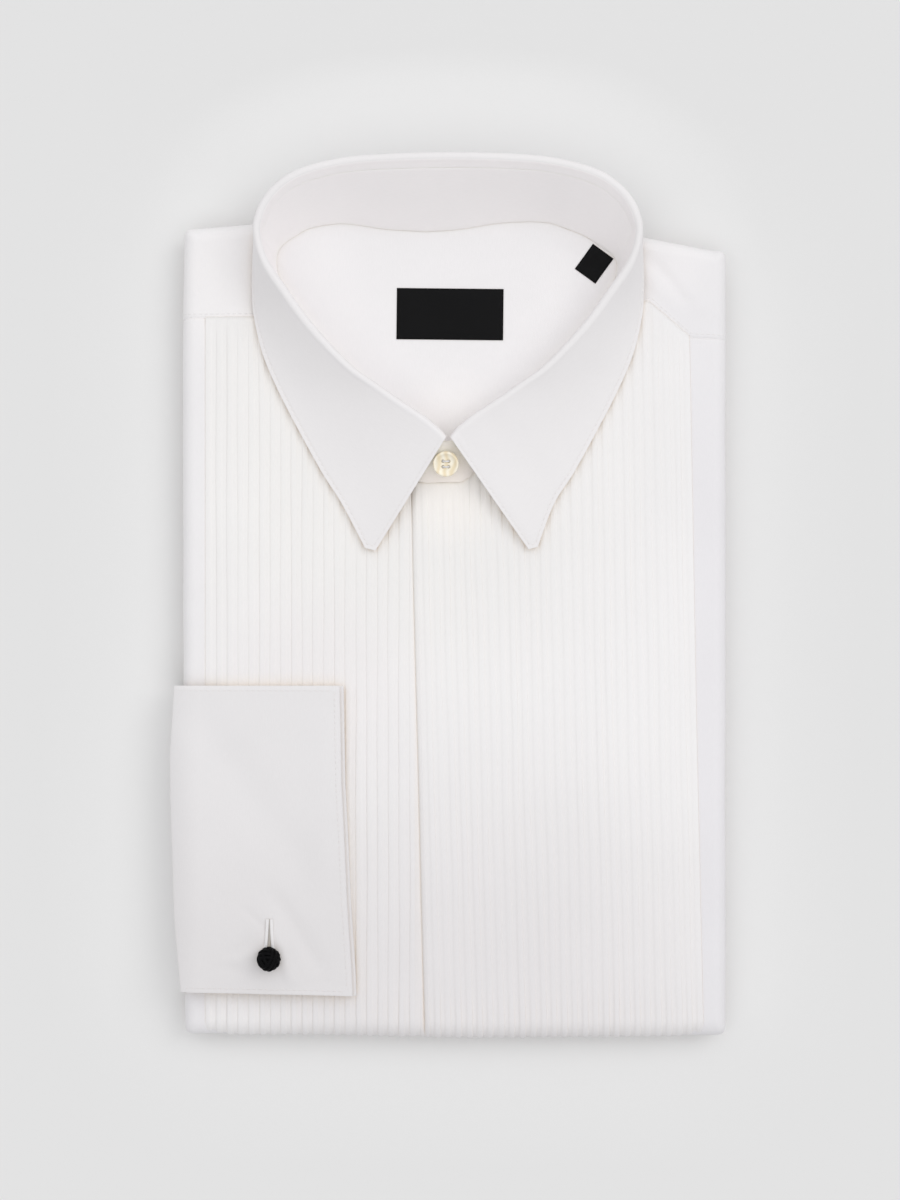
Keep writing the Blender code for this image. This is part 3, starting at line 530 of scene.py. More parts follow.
def laid_points(x, y, lift, side, side_angle, end, end_angle):
    """Points on a layer that lies over the body and folds round its side and its end."""
    x, y, lift, side_angle, end_angle = np.broadcast_arrays(x, y, lift, side_angle, end_angle)
    radius = CORE_RADIUS + lift
    angle = np.maximum(side_angle, end_angle)
    low = np.minimum(side_angle, end_angle) / np.maximum(angle, 1e-9)
    turn = np.where(side_angle >= end_angle, pi / 4 * low, pi / 2 - pi / 4 * low)
    square = (np.cos(turn) ** 4 + np.sin(turn) ** 4) ** -0.25
    reach = radius * np.sin(angle) * square
    centre_x = np.where(side_angle > 0, side_centre(side, y) if side else x, x)
    centre_y = np.where(end_angle > 0, end_centre(end, x), y)
    flat = neck_rise(x, y) * crown(angle)
    return stacked(centre_x + side * reach * np.cos(turn), centre_y + end * reach * np.sin(turn),
                   FOLD_CENTRE_Z + radius * np.cos(angle) + flat)


def neckline(x):
    front = [(abs(row[0]), row[1]) for row in COLLAR_HALF[9:]] + [(0, FLY_TOP_Y)]
    return along(front, np.abs(x))


def fly_x(half, share):
    top = neckline(FLY_EDGE[-1][1]) if half == "left" else FLY_TOP_Y
    x = along(FLY_EDGE, top + (end_centre(-1, FLY_EDGE[0][1]) - top) * share)
    return x - (FLY_GAP if half == "left" else 0)


def front_top(x, half):
    seam = LEFT_YOKE_SEAM_Y if half == "left" else along(RIGHT_YOKE_SEAM, x)
    top = np.where(np.abs(x) < SEAM_START_X, neckline(x) - SEAM_GAP, seam)
    return np.where((x < 0) & (half == "right"), FLY_TOP_Y - SEAM_GAP, top)


def bib_outer(half, y):
    return LEFT_BIB_X if half == "left" else along(RIGHT_BIB_EDGE, y)


def bib_ground(half, x, y):
    """How far the bib's ground cloth lies above the core: lower where it is sewn to the strip."""
    inward = np.abs(x - bib_outer(half, y))
    return BIB_LIFT - BIB_EDGE_DROP * (1 - ease(inward / BIB_EDGE_REACH))


def fly_raise(half, x, side_angle, end_angle):
    if half == "left":
        return 0
    near = np.clip(1 - (x - along(FLY_EDGE, 0)) / FLY_WIDTH, 0, 1)
    return np.where(np.asarray(side_angle) > 0, 0, FLY_RAISE * near ** 2 * crown(end_angle))


# ---- Materials ----
def start_material(name):
    material = bpy.data.materials.new(name)
    material.use_nodes = True
    return material, material.node_tree, material.node_tree.nodes["Principled BSDF"]


def feed(socket, value):
    """Link another node's output into a socket, or set it to a plain value."""
    if isinstance(value, bpy.types.NodeSocket):
        socket.id_data.links.new(value, socket)
    else:
        socket.default_value = value


def fill(made, **values):
    """Feed a node's sockets, whose names have spaces for underscores, and set its properties."""
    for key, value in values.items():
        socket = made.inputs.get(key.replace("_", " "))
        if socket:
            feed(socket, value)
        else:
            setattr(made, key, value)
    return made


def node(tree, kind, *inputs, **values):
    """A shader node; inputs feed its sockets in order, values its named sockets."""
    made = tree.nodes.new("ShaderNode" + kind)
    for socket, value in zip(made.inputs, inputs):
        feed(socket, value)
    return fill(made, **values)


def math_node(tree, operation, *inputs):
    return node(tree, "Math", *inputs, operation=operation).outputs[0]


def mix(tree, *inputs, blend_type="MULTIPLY"):
    return node(tree, "MixRGB", *inputs, blend_type=blend_type).outputs[0]


def ramp(tree, value, stops):
    """Colours blended along a value, from stops of (position, colour)."""
    made = node(tree, "ValToRGB", value)
    for _ in stops[2:]:
        made.color_ramp.elements.new(0.5)
    for stop, (position, color) in zip(made.color_ramp.elements, stops):
        stop.position = position
        stop.color = (*color, 1)
    return made.outputs[0]


def cloth_material(name, color, thread, bump, roughness=0.85, sheen=0.15, satin=False, tints=(),
                   shade_tint=SHADE_TINT):
    """Woven cloth: threads that cross over and under, uneven yarn, and faint cloudiness."""
    material, tree, shader = start_material(name)
    place = node(tree, "TexCoord").outputs["Object"]
    uv = node(tree, "UVMap", uv_map="cloth").outputs[0]
    split = node(tree, "SeparateXYZ", uv).outputs
    periods = (thread, thread * (3 if satin else 1.15))
    waves = [math_node(tree, "SINE", math_node(tree, "MULTIPLY", axis, 2 * pi / period))
             for axis, period in zip(split, periods)]
    crossed = math_node(tree, "MULTIPLY", math_node(tree, "MULTIPLY", *waves), 0.35)
    stretch = node(tree, "Mapping", uv, Scale=(2.2, 0.35, 1)).outputs[0]
    slub = node(tree, "TexNoise", stretch, Scale=0.9, Detail=3, Roughness=0.6).outputs[0]
    bumped = node(tree, "Bump", Strength=bump, Distance=0.00012,
                  Height=math_node(tree, "ADD", crossed, slub))
    cloud = node(tree, "TexNoise", place, Scale=16, Detail=3, Roughness=0.55)
    base = ramp(tree, cloud.outputs[0], [(position, [c * level for c in color])
                                         for position, level in CLOUD_LEVELS])
    # tint spots, several of them painted light and painted shade
    for spot, reach, tint in tints:
        away = node(tree, "VectorMath", place, (spot[0] * MM, spot[1] * MM, TOP_Z * MM),
                    operation="DISTANCE")
        near = node(tree, "MapRange", away.outputs["Value"], reach * MM, reach * 0.25 * MM,
                    interpolation_type="SMOOTHSTEP")
        base = mix(tree, near.outputs[0], base, (*tint, 1))
    # painted light: the cloth's hollows are painted paler and warmer with shade_tint
    if shade_tint:
        hollow = node(tree, "AmbientOcclusion", samples=4, Distance=SHADE_REACH * MM)
        open_share = node(tree, "MapRange", hollow.outputs["AO"], 0.15, 0.85)
        shaded = (*[min(c * t, 0.99) for c, t in zip(color, shade_tint)], 1)
        base = mix(tree, open_share.outputs[0], shaded, base, blend_type="MIX")
    fill(shader, Base_Color=mix(tree, 0.05, base, slub), Normal=bumped.outputs[0],
         Roughness=math_node(tree, "MULTIPLY_ADD", slub, 0.12, roughness - 0.06),
         Sheen_Weight=sheen, Sheen_Roughness=0.5, Specular_IOR_Level=0.09 if satin else 0.25)
    return material


def pearl_material():
    """Cream shell: soft bands of warmer and greyer pearl under a gloss."""
    material, tree, shader = start_material("pearl")
    place = node(tree, "TexCoord").outputs["Object"]
    wave = node(tree, "TexWave", place, Scale=90, Distortion=6, Detail=2).outputs[0]
    fill(shader, Base_Color=ramp(tree, wave, PEARL_COLORS), Coat_Weight=0.4,
         Roughness=math_node(tree, "MULTIPLY_ADD", wave, 0.1, 0.16))
    return material


def cord_material():
    """Black braided silk: fine ribs along each strand."""
    material, tree, shader = start_material("black_silk_cord")
    place = node(tree, "TexCoord").outputs["Object"]
    fibre = node(tree, "TexNoise", place, Scale=1800, Detail=2).outputs[0]
    bumped = node(tree, "Bump", Strength=0.5, Distance=0.0001, Height=fibre)
    fill(shader, Base_Color=ramp(tree, fibre, CORD_COLORS), Normal=bumped.outputs[0],
         Roughness=0.5, Sheen_Weight=0, Specular_IOR_Level=0.045)
    return material


def floor_material():
    """Pale floor with painted light: a little lighter where the shirt shades it, standing in for light
    that bounces off the shirt.
    """
    material, tree, shader = start_material("pale_floor")
    hollow = node(tree, "AmbientOcclusion", samples=8, Distance=FLOOR_SHADE_REACH * MM)
    levels = [(openness, (level,) * 3) for openness, level in FLOOR_PAINTED_LIGHT_LEVELS]
    fill(shader, Base_Color=ramp(tree, hollow.outputs["AO"], levels), Roughness=0.9,
         Specular_IOR_Level=0.1)
    return material


# ---- Body pieces ----
def make_front(half):
    """A front panel with its side strip, folded round the side and the bottom."""
    side = SIDE[half]
    side_angle, share_in = fold_in(paces(0, 0.14, 1, 22, 13))
    down, end_angle = fold_down(*FRONT_TURN)
    outer = side_centre(side, BODY_TOP_Y - BODY_LENGTH * down)
    inner = fly_x(half, down) + (FLY_UNDERLAP if half == "left" else FLY_TURN_IN)
    x = outer + (inner - outer) * share_in
    top = front_top(np.where(side_angle > 0, side * SIDE_X, x), half) + SEAM_TUCK
    y = top + (end_centre(-1, x) - top) * down
    points = laid_points(x, y, FRONT_LIFT, side, side_angle, -1, end_angle)
    points[..., 1] -= STRIP_DROP * np.sin(np.minimum(end_angle, pi / 2))
    points[..., 2] += fly_raise(half, x, side_angle, end_angle)
    shown = crown(side_angle)
    points[..., 2] += creases(BODY_CREASES, x, y) * shown * (end_angle < 1)
    points[..., 2] -= YOKE_OVER * ease((y - top + 6) / 5) * shown
    points[..., 2] -= UNDER_BIB_DROP * ease(((bib_outer(half, y) - x) * side + 0.2) / 1.2) * shown
    wave = ripple(y, x, 60, 4) * 0.25 * np.sin(np.minimum(side_angle, pi / 2))
    points[..., 0] -= side * np.abs(wave)
    cloth_piece("front_panel_" + half, points, PANEL_WALL, poplin, "shirt_cloth",
                ["front_" + half])


def pleat_height(u):
    """A pressed tuck across its pitch: folded edge, flat top, its seam, then the ground cloth."""
    return np.interp(u, [0, 0.03, 0.07, 0.14, 0.5, PLEAT_SEAM, 1],
                     [0, 0.4, 0.75, 1, 0.9, 0.12, 0])


def make_bib(half):
    """A bib of knife pleats; the folds face outward and wander a little along their length."""
    left = half == "left"
    count = LEFT_PLEATS if left else RIGHT_PLEATS
    inside = np.array([0, 0.03, 0.07, 0.14, 0.25, 0.42, 0.5, 0.57, PLEAT_SEAM, 0.8, 0.97])
    rest = np.linspace(0, 1, 14) if left else np.array([0, 0.1, 0.3, 0.6, 1])
    pleat = np.concatenate([(np.arange(count)[:, None] + inside).ravel(), count + rest])
    down, end_angle = fold_down(*BIB_TURN)
    number = np.floor(pleat + 1e-6).astype(int)
    u = pleat - number
    if not left:
        u = np.where(number >= count, PLEAT_SEAM * np.minimum(pleat - count, 1), u)
    rng = np.random.default_rng(11 if left else 12)
    size = rng.uniform(0.78, 1.08, count + 2)[number]
    phases = rng.uniform(0, 6.28, count + 3)
    here, there = (0.16 * np.sin(down * 9 + turn) + 0.1 * np.sin(down * 23 + 2 * turn)
                   for turn in (phases[number], phases[number + 1]))
    wander = here + (there - here) * u
    wander = wander * np.minimum(pleat, np.clip(count - pleat, 0, 1)).clip(0, 1)
    if left:
        last = LEFT_BIB_X + count * LEFT_PITCH
        fly = fly_x(half, down) + FLY_UNDERLAP
        x = wander + np.where(pleat <= count, LEFT_BIB_X + pleat * LEFT_PITCH,
                              last + (fly - last) * (pleat - count))
    else:
        outer = along(RIGHT_BIB_EDGE, BIB_TOP_Y - BODY_LENGTH * down)
        last = fly_x(half, down) + RIGHT_PLAIN
        shares = np.minimum(pleat, count) / count
        sway = RIGHT_SWAY * ease((BODY_LENGTH * down - SWAY_START) / SWAY_GROWTH)
        x = outer + (last - outer) * shares + wander + 2 * sway * np.minimum(shares, 1 - shares)
        x = x - RIGHT_PLAIN * np.maximum(pleat - count, 0)
    height = pleat_height(u) * size * np.where(number == 0, ease(u / 0.35), 1)
    height = height * (1 + 0.12 * np.sin(down * 14 + 3 * phases[number]))
    to_fly = fly_x("right", down) - x
    if left:
        height = height * ease(to_fly / 1.5)
    top = front_top(x, half) + SEAM_TUCK
    y = top + (end_centre(-1, x) - top) * down
    plain = SEAM_PLAIN + BAND_PLAIN * bell(x / BAND_REACH)
    pressed = 1 - 0.8 * ease((y - top + 1 + plain) / plain)
    pressed = pressed * (1 + 0.8 * ease((down - 0.93) / 0.07))
    lift = bib_ground(half, x, BIB_TOP_Y - BODY_LENGTH * down)
    lift = lift + PLEAT_RELIEF * np.clip(height, 0, 1.15) * pressed
    lift[:, 0] = PANEL_LIFT + 0.1
    points = laid_points(x, y, lift, 0, 0, -1, end_angle)
    points[..., 2] += fly_raise(half, x, 0, end_angle)
    if left:
        valley = FLY_VALLEY * (1 + 1.7 * down) * np.cos(np.minimum(end_angle, 1.5))
        points[..., 2] -= valley * ease(1 - to_fly / VALLEY_REACH)
    else:
        points[..., 2] -= FLY_LIP * (1 - ease(-to_fly / LIP_REACH))
    points[..., 2] += creases(BODY_CREASES, x, y) * 0.9 * (end_angle < 1)
    cloth_piece("pleated_bib_" + half, points, BIB_WALL, bib_cloth, "bib_cloth", ["bib_" + half])


def make_yoke(half):
    """The yoke where it comes over one shoulder."""
    side = SIDE[half]
    neck = [(row[1], -side * row[0]) for row in COLLAR_HALF if row[1] > 124 and abs(row[0]) > 60.5]
    side_angle, across = fold_in(np.linspace(0, 1, 41)[1:])
    end_angle, down = (a[:, None] for a in fold_in(np.linspace(0, 1, 51)[1:]))
    outer = side_centre(side, YOKE_SIDE_Y)
    at_seam = outer + (side * YOKE_SEAM_X - outer) * across
    top = end_centre(1, at_seam)
    seam = front_top(np.where(side_angle > 0, side * SIDE_X, at_seam), half)
    y = top + (seam - YOKE_LAP - top) * down
    neck_top = end_centre(1, side * NECK_SIDE_X)
    inner = along(neck, neck_top + (SHOULDER_END_Y - neck_top) * down) + side * SEAM_GAP
    x = outer + (inner - outer) * across
    points = laid_points(x, y, FRONT_LIFT, side, side_angle, 1, end_angle)
    shown = crown(np.maximum(side_angle, end_angle))
    points[..., 2] += creases(BODY_CREASES, x, y) * shown
    on_bib = ease((side * bib_outer(half, YOKE_FOOT_Y) + 1.5 - side * x) / 3)
    over_bib = bib_ground(half, x, YOKE_FOOT_Y) + YOKE_STEP - PANEL_LIFT
    climb = over_bib * on_bib + YOKE_OVER * (1 - on_bib)
    points[..., 2] += climb * np.exp(-np.maximum(y - seam, 0) / 4.5) * shown
    points[..., 2] -= YOKE_EDGE_DROP * ease((seam + 1.3 - y) / 1.6) * shown
    cloth_piece("yoke_shoulder_" + half, points, PANEL_WALL, poplin, "shirt_cloth",
                ["yoke_" + half])
    flat = side_angle <= pi / 2
    inside, laid = (y - seam)[:, flat], points[:, flat]
    line = np.array([follow(YOKE_STITCH, inside[::-1, c], laid[::-1, c])
                     for c in range(inside.shape[1])])
    normals = sheet_normals(laid.transpose(1, 0, 2))[:, -3]
    stitches("yoke_stitching_" + half, line, normals * np.sign(normals[-1, 2]), thread)


def make_yoke_inner():
    """Inside of the yoke and back, seen through the neck."""
    half = [(row[0], row[1]) for row in COLLAR_HALF[1:]]
    back, front = (0, 160), (0, 51.6)
    outline = np.array([back] + half + [front] + [(-x, y) for x, y in half[::-1]] + [back])
    outline = follow(np.linspace(0, len(outline) - 1, 241)[:-1], np.arange(len(outline)), outline)
    outline = stacked(*lie_seam(*outline.T))
    shares = np.concatenate([np.linspace(1.004, 0.9, 16), np.linspace(0.9, 0.004, 45)[1:]])
    plan = INSIDE_CENTRE + (outline - INSIDE_CENTRE) * shares[:, None, None]
    x, y = plan[..., 0], plan[..., 1]
    z = TOP_Z + PANEL_LIFT + 0.4 * neck_rise(x, y) + creases(INSIDE_CREASES, x, y)
    rim = base_height(*outline.T) - 0.25
    z = z + (rim - z) * np.exp(-(np.linalg.norm(plan - outline, axis=2) / 4) ** 1.3)
    return cloth_piece("yoke_inside", stacked(x, y, z), PANEL_WALL, inside_cloth,
                       "inside_cloth", ["yoke_inner"], closed=True, cloth=plan)


def make_folded_layers():
    """The back, sleeves and tail folded under: cloth layers whose rounded folds show at the edge."""
    profile = [(9, 0), (2.4, 0.02)]
    for low, high, inset in UNDER_LAYERS:
        middle, half_height = (low + high) / 2, (high - low) / 2
        profile += [(inset + half_height * (1 - cos(angle)) * 1.6,
                     middle + half_height * sin(angle))
                    for angle in np.radians(np.linspace(-80, 80, 9))]
        profile.append((inset + 2.4, high + 0.05))
    profile.append((4.4, 5))
    profile += [(PANEL_FOLD - 4.2 * sin(angle), FOLD_CENTRE_Z + 4.2 * cos(angle))
                for angle in np.radians(np.linspace(165, 0, 12))]
    profile += [(20, TOP_Z - 0.45), (100, TOP_Z - 0.5)]
    rings = []
    for inset, z in profile:
        extra = (BIB_FOLD - PANEL_FOLD) if z > UNDER_TOP_Z else 0
        corner = max(PANEL_FOLD + 1 - inset, 1.2)
        left, right = UNDER_LEFT_X + inset + corner, UNDER_RIGHT_X - inset - corner
        low, high = UNDER_LOW_Y + inset + extra + corner, UNDER_HIGH_Y - inset - corner
        middles = ((left, low), (right, low), (right, high - 5), (left, high + 6))
        arcs = [np.array([(x + corner * cos(a), y + corner * sin(a))
                          for a in np.radians(np.linspace(start, start + 90, 9))])
                for start, (x, y) in zip((180, 270, 0, 90), middles)]
        ring = []
        for number, arc in enumerate(arcs):
            straight = np.linspace(arc[-1], arcs[(number + 1) % 4][0], 58)[1:-1]
            if number == 0:
                straight[:, 1] = along(BOTTOM_EDGE, straight[:, 0]) + inset + extra
            elif number == 2:
                straight[:, 1] = along(TOP_EDGE, straight[:, 0]) - inset
            ring += [arc, straight]
        ring = np.concatenate(ring)
        if 0.01 < z < UNDER_TOP_Z:
            wobble = ripple(ring[:, 0], ring[:, 1], 70, 30 + int(z / 1.55)) * 0.45
            ring = ring + unit(np.array([3, -16]) - ring) * np.abs(wobble)[:, None]
        rings.append(stacked(*ring.T, z))
    points = np.array(rings)
    cloth = stacked(points[..., 0], points[..., 1] + points[..., 2])
    obj = grid_object("folded_layers", points, cloth, closed=True, caps=True)
    finish_piece(obj, poplin, ["folded_stack"])


# ---- Collar ----
def base_height(x, y):
    on_bib = np.clip((138 - y) / 12, 0, 1)
    level = BASE_LIFT_BACK + (BASE_LIFT_FRONT - BASE_LIFT_BACK) * on_bib
    return TOP_Z + level + neck_rise(x, y)


def lie_seam(x, y):
    """Where points of an even neck seam come to lie."""
    middle_x, middle_y, reach = SEAM_CORNER
    corner = bell(np.hypot(x - middle_x, y - middle_y) / reach)
    rise = along(SEAM_RISE, x) * ease((y - SEAM_RISE_Y) / 10)
    return x - RIGHT_SEAM_SHIFT[0] * corner, y - RIGHT_SEAM_SHIFT[1] * corner + rise


def collar_lines(half):
    """Base, roll and leaf edge points along one half, back to front, then the leading edge."""
    table = COLLAR_HALF.copy()
    if half == "right":
        table[-1, 5] = -RIGHT_TIP_X
        table[-1, 6] += 0.4
    mirrored = table[1:3][::-1] * np.array([-1, 1, -1, 1, 1, -1, 1, 1])
    t = np.linspace(2, len(table) + 1, COLLAR_FINE * (len(table) - 1) + 1)
    rows = spline(np.concatenate([mirrored, table]), t)
    rows[:, [0, 2, 5]] *= -SIDE[half]
    rows[:, 0], rows[:, 1] = lie_seam(rows[:, 0], rows[:, 1])
    if half == "right":
        middle, reach, drop = RIGHT_BAND_DROP
        rows[:, 1] -= drop * bell((rows[:, 0] - middle) / reach) * (rows[:, 1] < 100)
    base = stacked(rows[:, 0], rows[:, 1], base_height(rows[:, 0], rows[:, 1]))
    start, tip = (np.array(p) for p in LEAF_FRONT[half])
    last = np.array([start[0], base[-1, 1] - 3, base[-1, 2]])
    more = np.linspace(0, 1, LEAD_COLUMNS + 1)[1:, None]
    return [extend(line, end, more)
            for line, end in ((base, last), (rows[:, 2:5], start), (rows[:, 5:8], tip))]


def collar_frames(half):
    base, roll, edge = collar_lines(half)
    run = unit(np.gradient(roll[:, :2], axis=0))
    out = stacked(run[:, 1], -run[:, 0]) * -SIDE[half]
    out[-9:] = out[-10]
    reach = np.sum((base[:, :2] - roll[:, :2]) * out, 1, keepdims=True)
    lip = unit(np.concatenate([out * reach, (base[:, 2:] - roll[:, 2:])], 1))
    plan = edge[:, :2] - roll[:, :2]
    slope = FALL_POWER * (edge[:, 2] - roll[:, 2]) / np.linalg.norm(plan, axis=1)
    fall = unit(np.concatenate([unit(plan), slope[:, None]], 1))
    bend = unit(-(lip + fall))
    across = unit(fall - lip)
    lean = np.clip(2 * np.sum(bend[:, :2] * out, 1), -1, 1)[:, None]
    outer = ROLL_RADIUS + LEAF_WALL / 2
    centre = roll - np.concatenate([out * outer * lean, np.full((len(roll), 1), outer)], 1)
    return base, edge, centre, lip, bend, across


def leaf_rows(half):
    _, edge, centre, lip, bend, across = collar_frames(half)
    cols = [centre - across * ROLL_RADIUS + lip * LIP * t for t in (1, 0.75, 0.5, 0.25)]
    cols += [centre + ROLL_RADIUS * (across * cos(a) + bend * sin(a))
             for a in np.radians(np.linspace(180, 0, 11))]
    start = cols[-1]
    for t in paces(0, 0.88, 1, 32, 15):
        point = start + (edge - start) * t
        point[:, 2] = start[:, 2] + (edge[:, 2] - start[:, 2]) * (1 - (1 - t) ** FALL_POWER)
        cols.append(point)
    return np.stack(cols, 1)


def sheet_normals(points):
    normals = unit(np.cross(np.gradient(points, axis=1), np.gradient(points, axis=0)))
    return normals * np.sign(np.sum(normals[:, -20:, 2]))


def seam_in(points):
    """Press a stitched groove just inside a leaf's outer and leading edges; return the line."""
    normals = sheet_normals(points)
    inside = np.cumsum(np.pad(spans(points, 1)[:, ::-1], ((0, 0), (1, 0))), axis=1)[:, ::-1]
    last = len(points) - 1 - LEAD_ROWS
    groove = bell((inside - EDGE_STITCH) / 0.45)
    groove = groove * (np.arange(len(points)) <= last)[:, None]
    lead = bell((np.arange(len(points)) - last) / 0.8)[:, None] * (inside > EDGE_STITCH)
    fall = np.arange(points.shape[1]) > ROLL_COLUMNS
    pressed = points - normals * (np.maximum(groove, lead) * fall)[..., None] * GROOVE_DEPTH
    both = np.concatenate([pressed, normals], -1)
    line = [follow(EDGE_STITCH, inside[i, ::-1], both[i, ::-1]) for i in range(last + 1)]
    line += [both[last, j] for j in range(points.shape[1] - 1, ROLL_COLUMNS, -1)
             if inside[last, j] > EDGE_STITCH]
    line = np.array(line)
    return pressed, line[:, :3] + line[:, 3:] * LEAF_WALL / 2, line[:, 3:]


def make_collar_leaf():
    halves = []
    for half in ("left", "right"):
        points, line, normals = seam_in(leaf_rows(half))
        halves.append(points)
        stitches("leaf_stitching_" + half, line, normals, thread)
    points = whole(halves)
    obj = cloth_piece("collar_fall", points, LEAF_WALL, collar_cloth, "collar_cloth",
                      ["collar_leaf"], rim=0.35)
    obj.data.materials.append(band_cloth_painted_light)     # the lip faces inward, as the band does, and takes the band's paler cloth: painted light in its shade
    across = points.shape[1] - 1
    for face in obj.data.polygons:
        face.material_index = int(face.index % across < LIP_FACES)


def make_collar_stand():
    """The band, with its upper end lapped over its lower end under the button."""
    halves = []
    for half in ("left", "right"):
        base, _, centre, lip, _, across = (a[:-LEAD_COLUMNS] for a in collar_frames(half))
        to_end = np.arange(len(base)) - (len(base) - 1)
        near, nearer = (np.clip(1 + to_end / reach, 0, 1) for reach in (2 * COLLAR_FINE, COLLAR_FINE))
        base = base.copy()
        base[:, 2] += BASE_LAP[half] * near
        drop = 1 + 23 * nearer[:, None]
        top = centre - across * ROLL_RADIUS + lip * (LIP + LIP_GAP * drop)
        steps = np.linspace(0, 1, 5)[1:, None]
        for foot, head in STAND_ENDS[half]:
            foot = np.array([*foot, base_height(*foot) + BASE_LAP[half]])
            base, top = extend(base, foot, steps), extend(top, np.array(head), steps)
        t = np.linspace(0, 1, 22)[None, :, None]
        halves.append(base[:, None] + (top - base)[:, None] * t)
    cloth_piece("collar_band", whole(halves), STAND_WALL, band_cloth_painted_light, "collar_cloth",
                ["collar_stand"], rim=0.3)


def make_button():
    """A four-hole shirt button with a rolled rim and its sewing thread."""
    profile = np.array([(0, 0.05), (0.7, 0), (0.9, 0.08), (0.985, 0.3), (1, 0.55),
                        (0.985, 0.8), (0.94, 0.95), (0.87, 1), (0.8, 0.95), (0.74, 0.8),
                        (0.66, 0.66), (0.4, 0.6), (0, 0.58)]) * (BUTTON_RADIUS, BUTTON_THICK)
    sides = 64
    walls = lathe(profile[1:-1], sides)
    points = [(0, 0, profile[0, 1]), *walls.reshape(-1, 3), (0, 0, profile[-1, 1])]
    faces = [[1 + k for k in face] for face in quads(len(walls), sides, closed=True)]
    last = len(points) - 1
    for i in range(sides):
        j = (i + 1) % sides
        faces += [(0, 1 + j, 1 + i), (last, last - sides + i, last - sides + j)]
    button = mesh_object("shirt_button", points, faces)
    hole = lathe([(BUTTON_HOLE, -4), (BUTTON_HOLE, 4)], 20).reshape(-1, 3)
    spots = [(x, y, 0) for x in (-BUTTON_HOLE_SPREAD, BUTTON_HOLE_SPREAD)
             for y in (-BUTTON_HOLE_SPREAD, BUTTON_HOLE_SPREAD)]
    cutter = joined("holes", [(hole + spot, quads(2, 20, closed=True, caps=True))
                              for spot in spots])
    cut = button.modifiers.new("Holes", "BOOLEAN")
    cut.operation = "DIFFERENCE"
    cut.object = cutter
    bpy.context.view_layer.update()
    evaluated = button.evaluated_get(bpy.context.evaluated_depsgraph_get())
    button.data = bpy.data.meshes.new_from_object(evaluated)
    button.modifiers.clear()
    bpy.data.objects.remove(cutter)
    button.data.shade_smooth()
    button.data.set_sharp_from_angle(angle=radians(35))
    level = 0.6 * BUTTON_THICK
    across = [(-1, -1.1), (-1, -0.1), (-0.7, 0.32), (0, 0.42), (0.7, 0.32), (1, -0.1),
              (1, -1.1)]
    sewn = joined("button_thread", [
        tube([(share * BUTTON_HOLE_SPREAD, row * BUTTON_HOLE_SPREAD, level + z)
              for share, z in across], 0.42) for row in (-1, 1)])
    for part in (button, sewn):
        part.location = Vector((*BUTTON_CENTRE, BUTTON_Z)) * MM
        part.rotation_euler = (BUTTON_TILT, 0, 0)
    bpy.context.view_layer.update()
    finish_piece(button, pearl, ["collar_button"])
    finish_piece(sewn, thread)


# ---- Cuff ----
def cuff_slant(x, y):
    """Where a point of an even cuff comes to lie, as the lower edge runs up to the left."""
    share = (y - CUFF_TOP_Y) / (CUFF_BOTTOM_Y - CUFF_TOP_Y)
    return CUFF_TOP_Y + share * (along(CUFF_BOTTOM, x) - CUFF_TOP_Y)


def cuff_height(x, y):
    distance = np.hypot(x - KNOT_CENTRE[0], y - KNOT_CENTRE[1])
    past = np.minimum(x - CUFF_DROOP_START, 0) / 12
    return TENT_HEIGHT * bell(distance / TENT_REACH) - CUFF_DROOP * past ** 2


def make_cuff(name, level, shows, stands_for, crease_share):
    """One half of the cuff, turned back on itself at the hand edge."""
    ys = np.linspace(CUFF_TOP_Y, CUFF_BOTTOM_Y, 150)[:, None]
    left = along(CUFF_LEFT, ys) + 0.5
    right = along(CUFF_RIGHT, ys) + shows
    gap = CUFF_LAYER + CUFF_AIR
    bend = gap / 2
    outer_x = left + (right - bend - left) * np.linspace(0, 1, 90)
    turn = np.radians(np.linspace(90, -90, 9)[1:-1])
    turn_x = (right - bend) + (bend + 0.02) * np.cos(turn)
    under_x = (left + 3) + (right - bend - left - 3) * np.linspace(1, 0, 24)
    x = np.concatenate([outer_x, turn_x, under_x], 1)
    drop = np.concatenate([np.zeros(90), bend * (1 - np.sin(turn)), np.full(24, gap)])
    y = cuff_slant(x, ys)
    z = level - CUFF_LAYER / 2 - drop + cuff_height(x, y)
    z = z + creases(CUFF_CREASES, x, y) * crease_share
    z = z - 0.5 * np.clip((y - (CUFF_TOP_Y - 2)) / 2, 0, 1) ** 2
    slit = np.hypot((x - KNOT_CENTRE[0]) / 1.6, np.clip(np.abs(y - KNOT_CENTRE[1] - 7) - 8, 0, 99))
    z = z - 0.5 * bell(slit) * crease_share
    cloth_piece(name, stacked(x, y, z), CUFF_LAYER, cuff_cloth, "cuff_cloth", stands_for,
                rim=0.25)


def cuff_surface(x, y):
    z = CUFF_UPPER_Z + cuff_height(x, y) + creases(CUFF_CREASES, x, y)
    return stacked(x, y, z)


def make_cuff_stitching():
    inset = CUFF_STITCH
    ys = np.linspace(CUFF_TOP_Y - inset, CUFF_BOTTOM_Y + inset, 90)
    lines = {"side": cuff_surface(along(CUFF_RIGHT, ys) - inset, ys)}
    for name, y in (("top", ys[0]), ("bottom", ys[-1])):
        xs = np.linspace(along(CUFF_LEFT, y) + inset, along(CUFF_RIGHT, y) - inset, 60)
        lines[name] = cuff_surface(xs, cuff_slant(xs, y))
    for name, line in lines.items():
        normals = np.tile([0, 0, 1], (len(line), 1))
        stitches("cuff_stitching_" + name, line, normals, cuff_cloth)


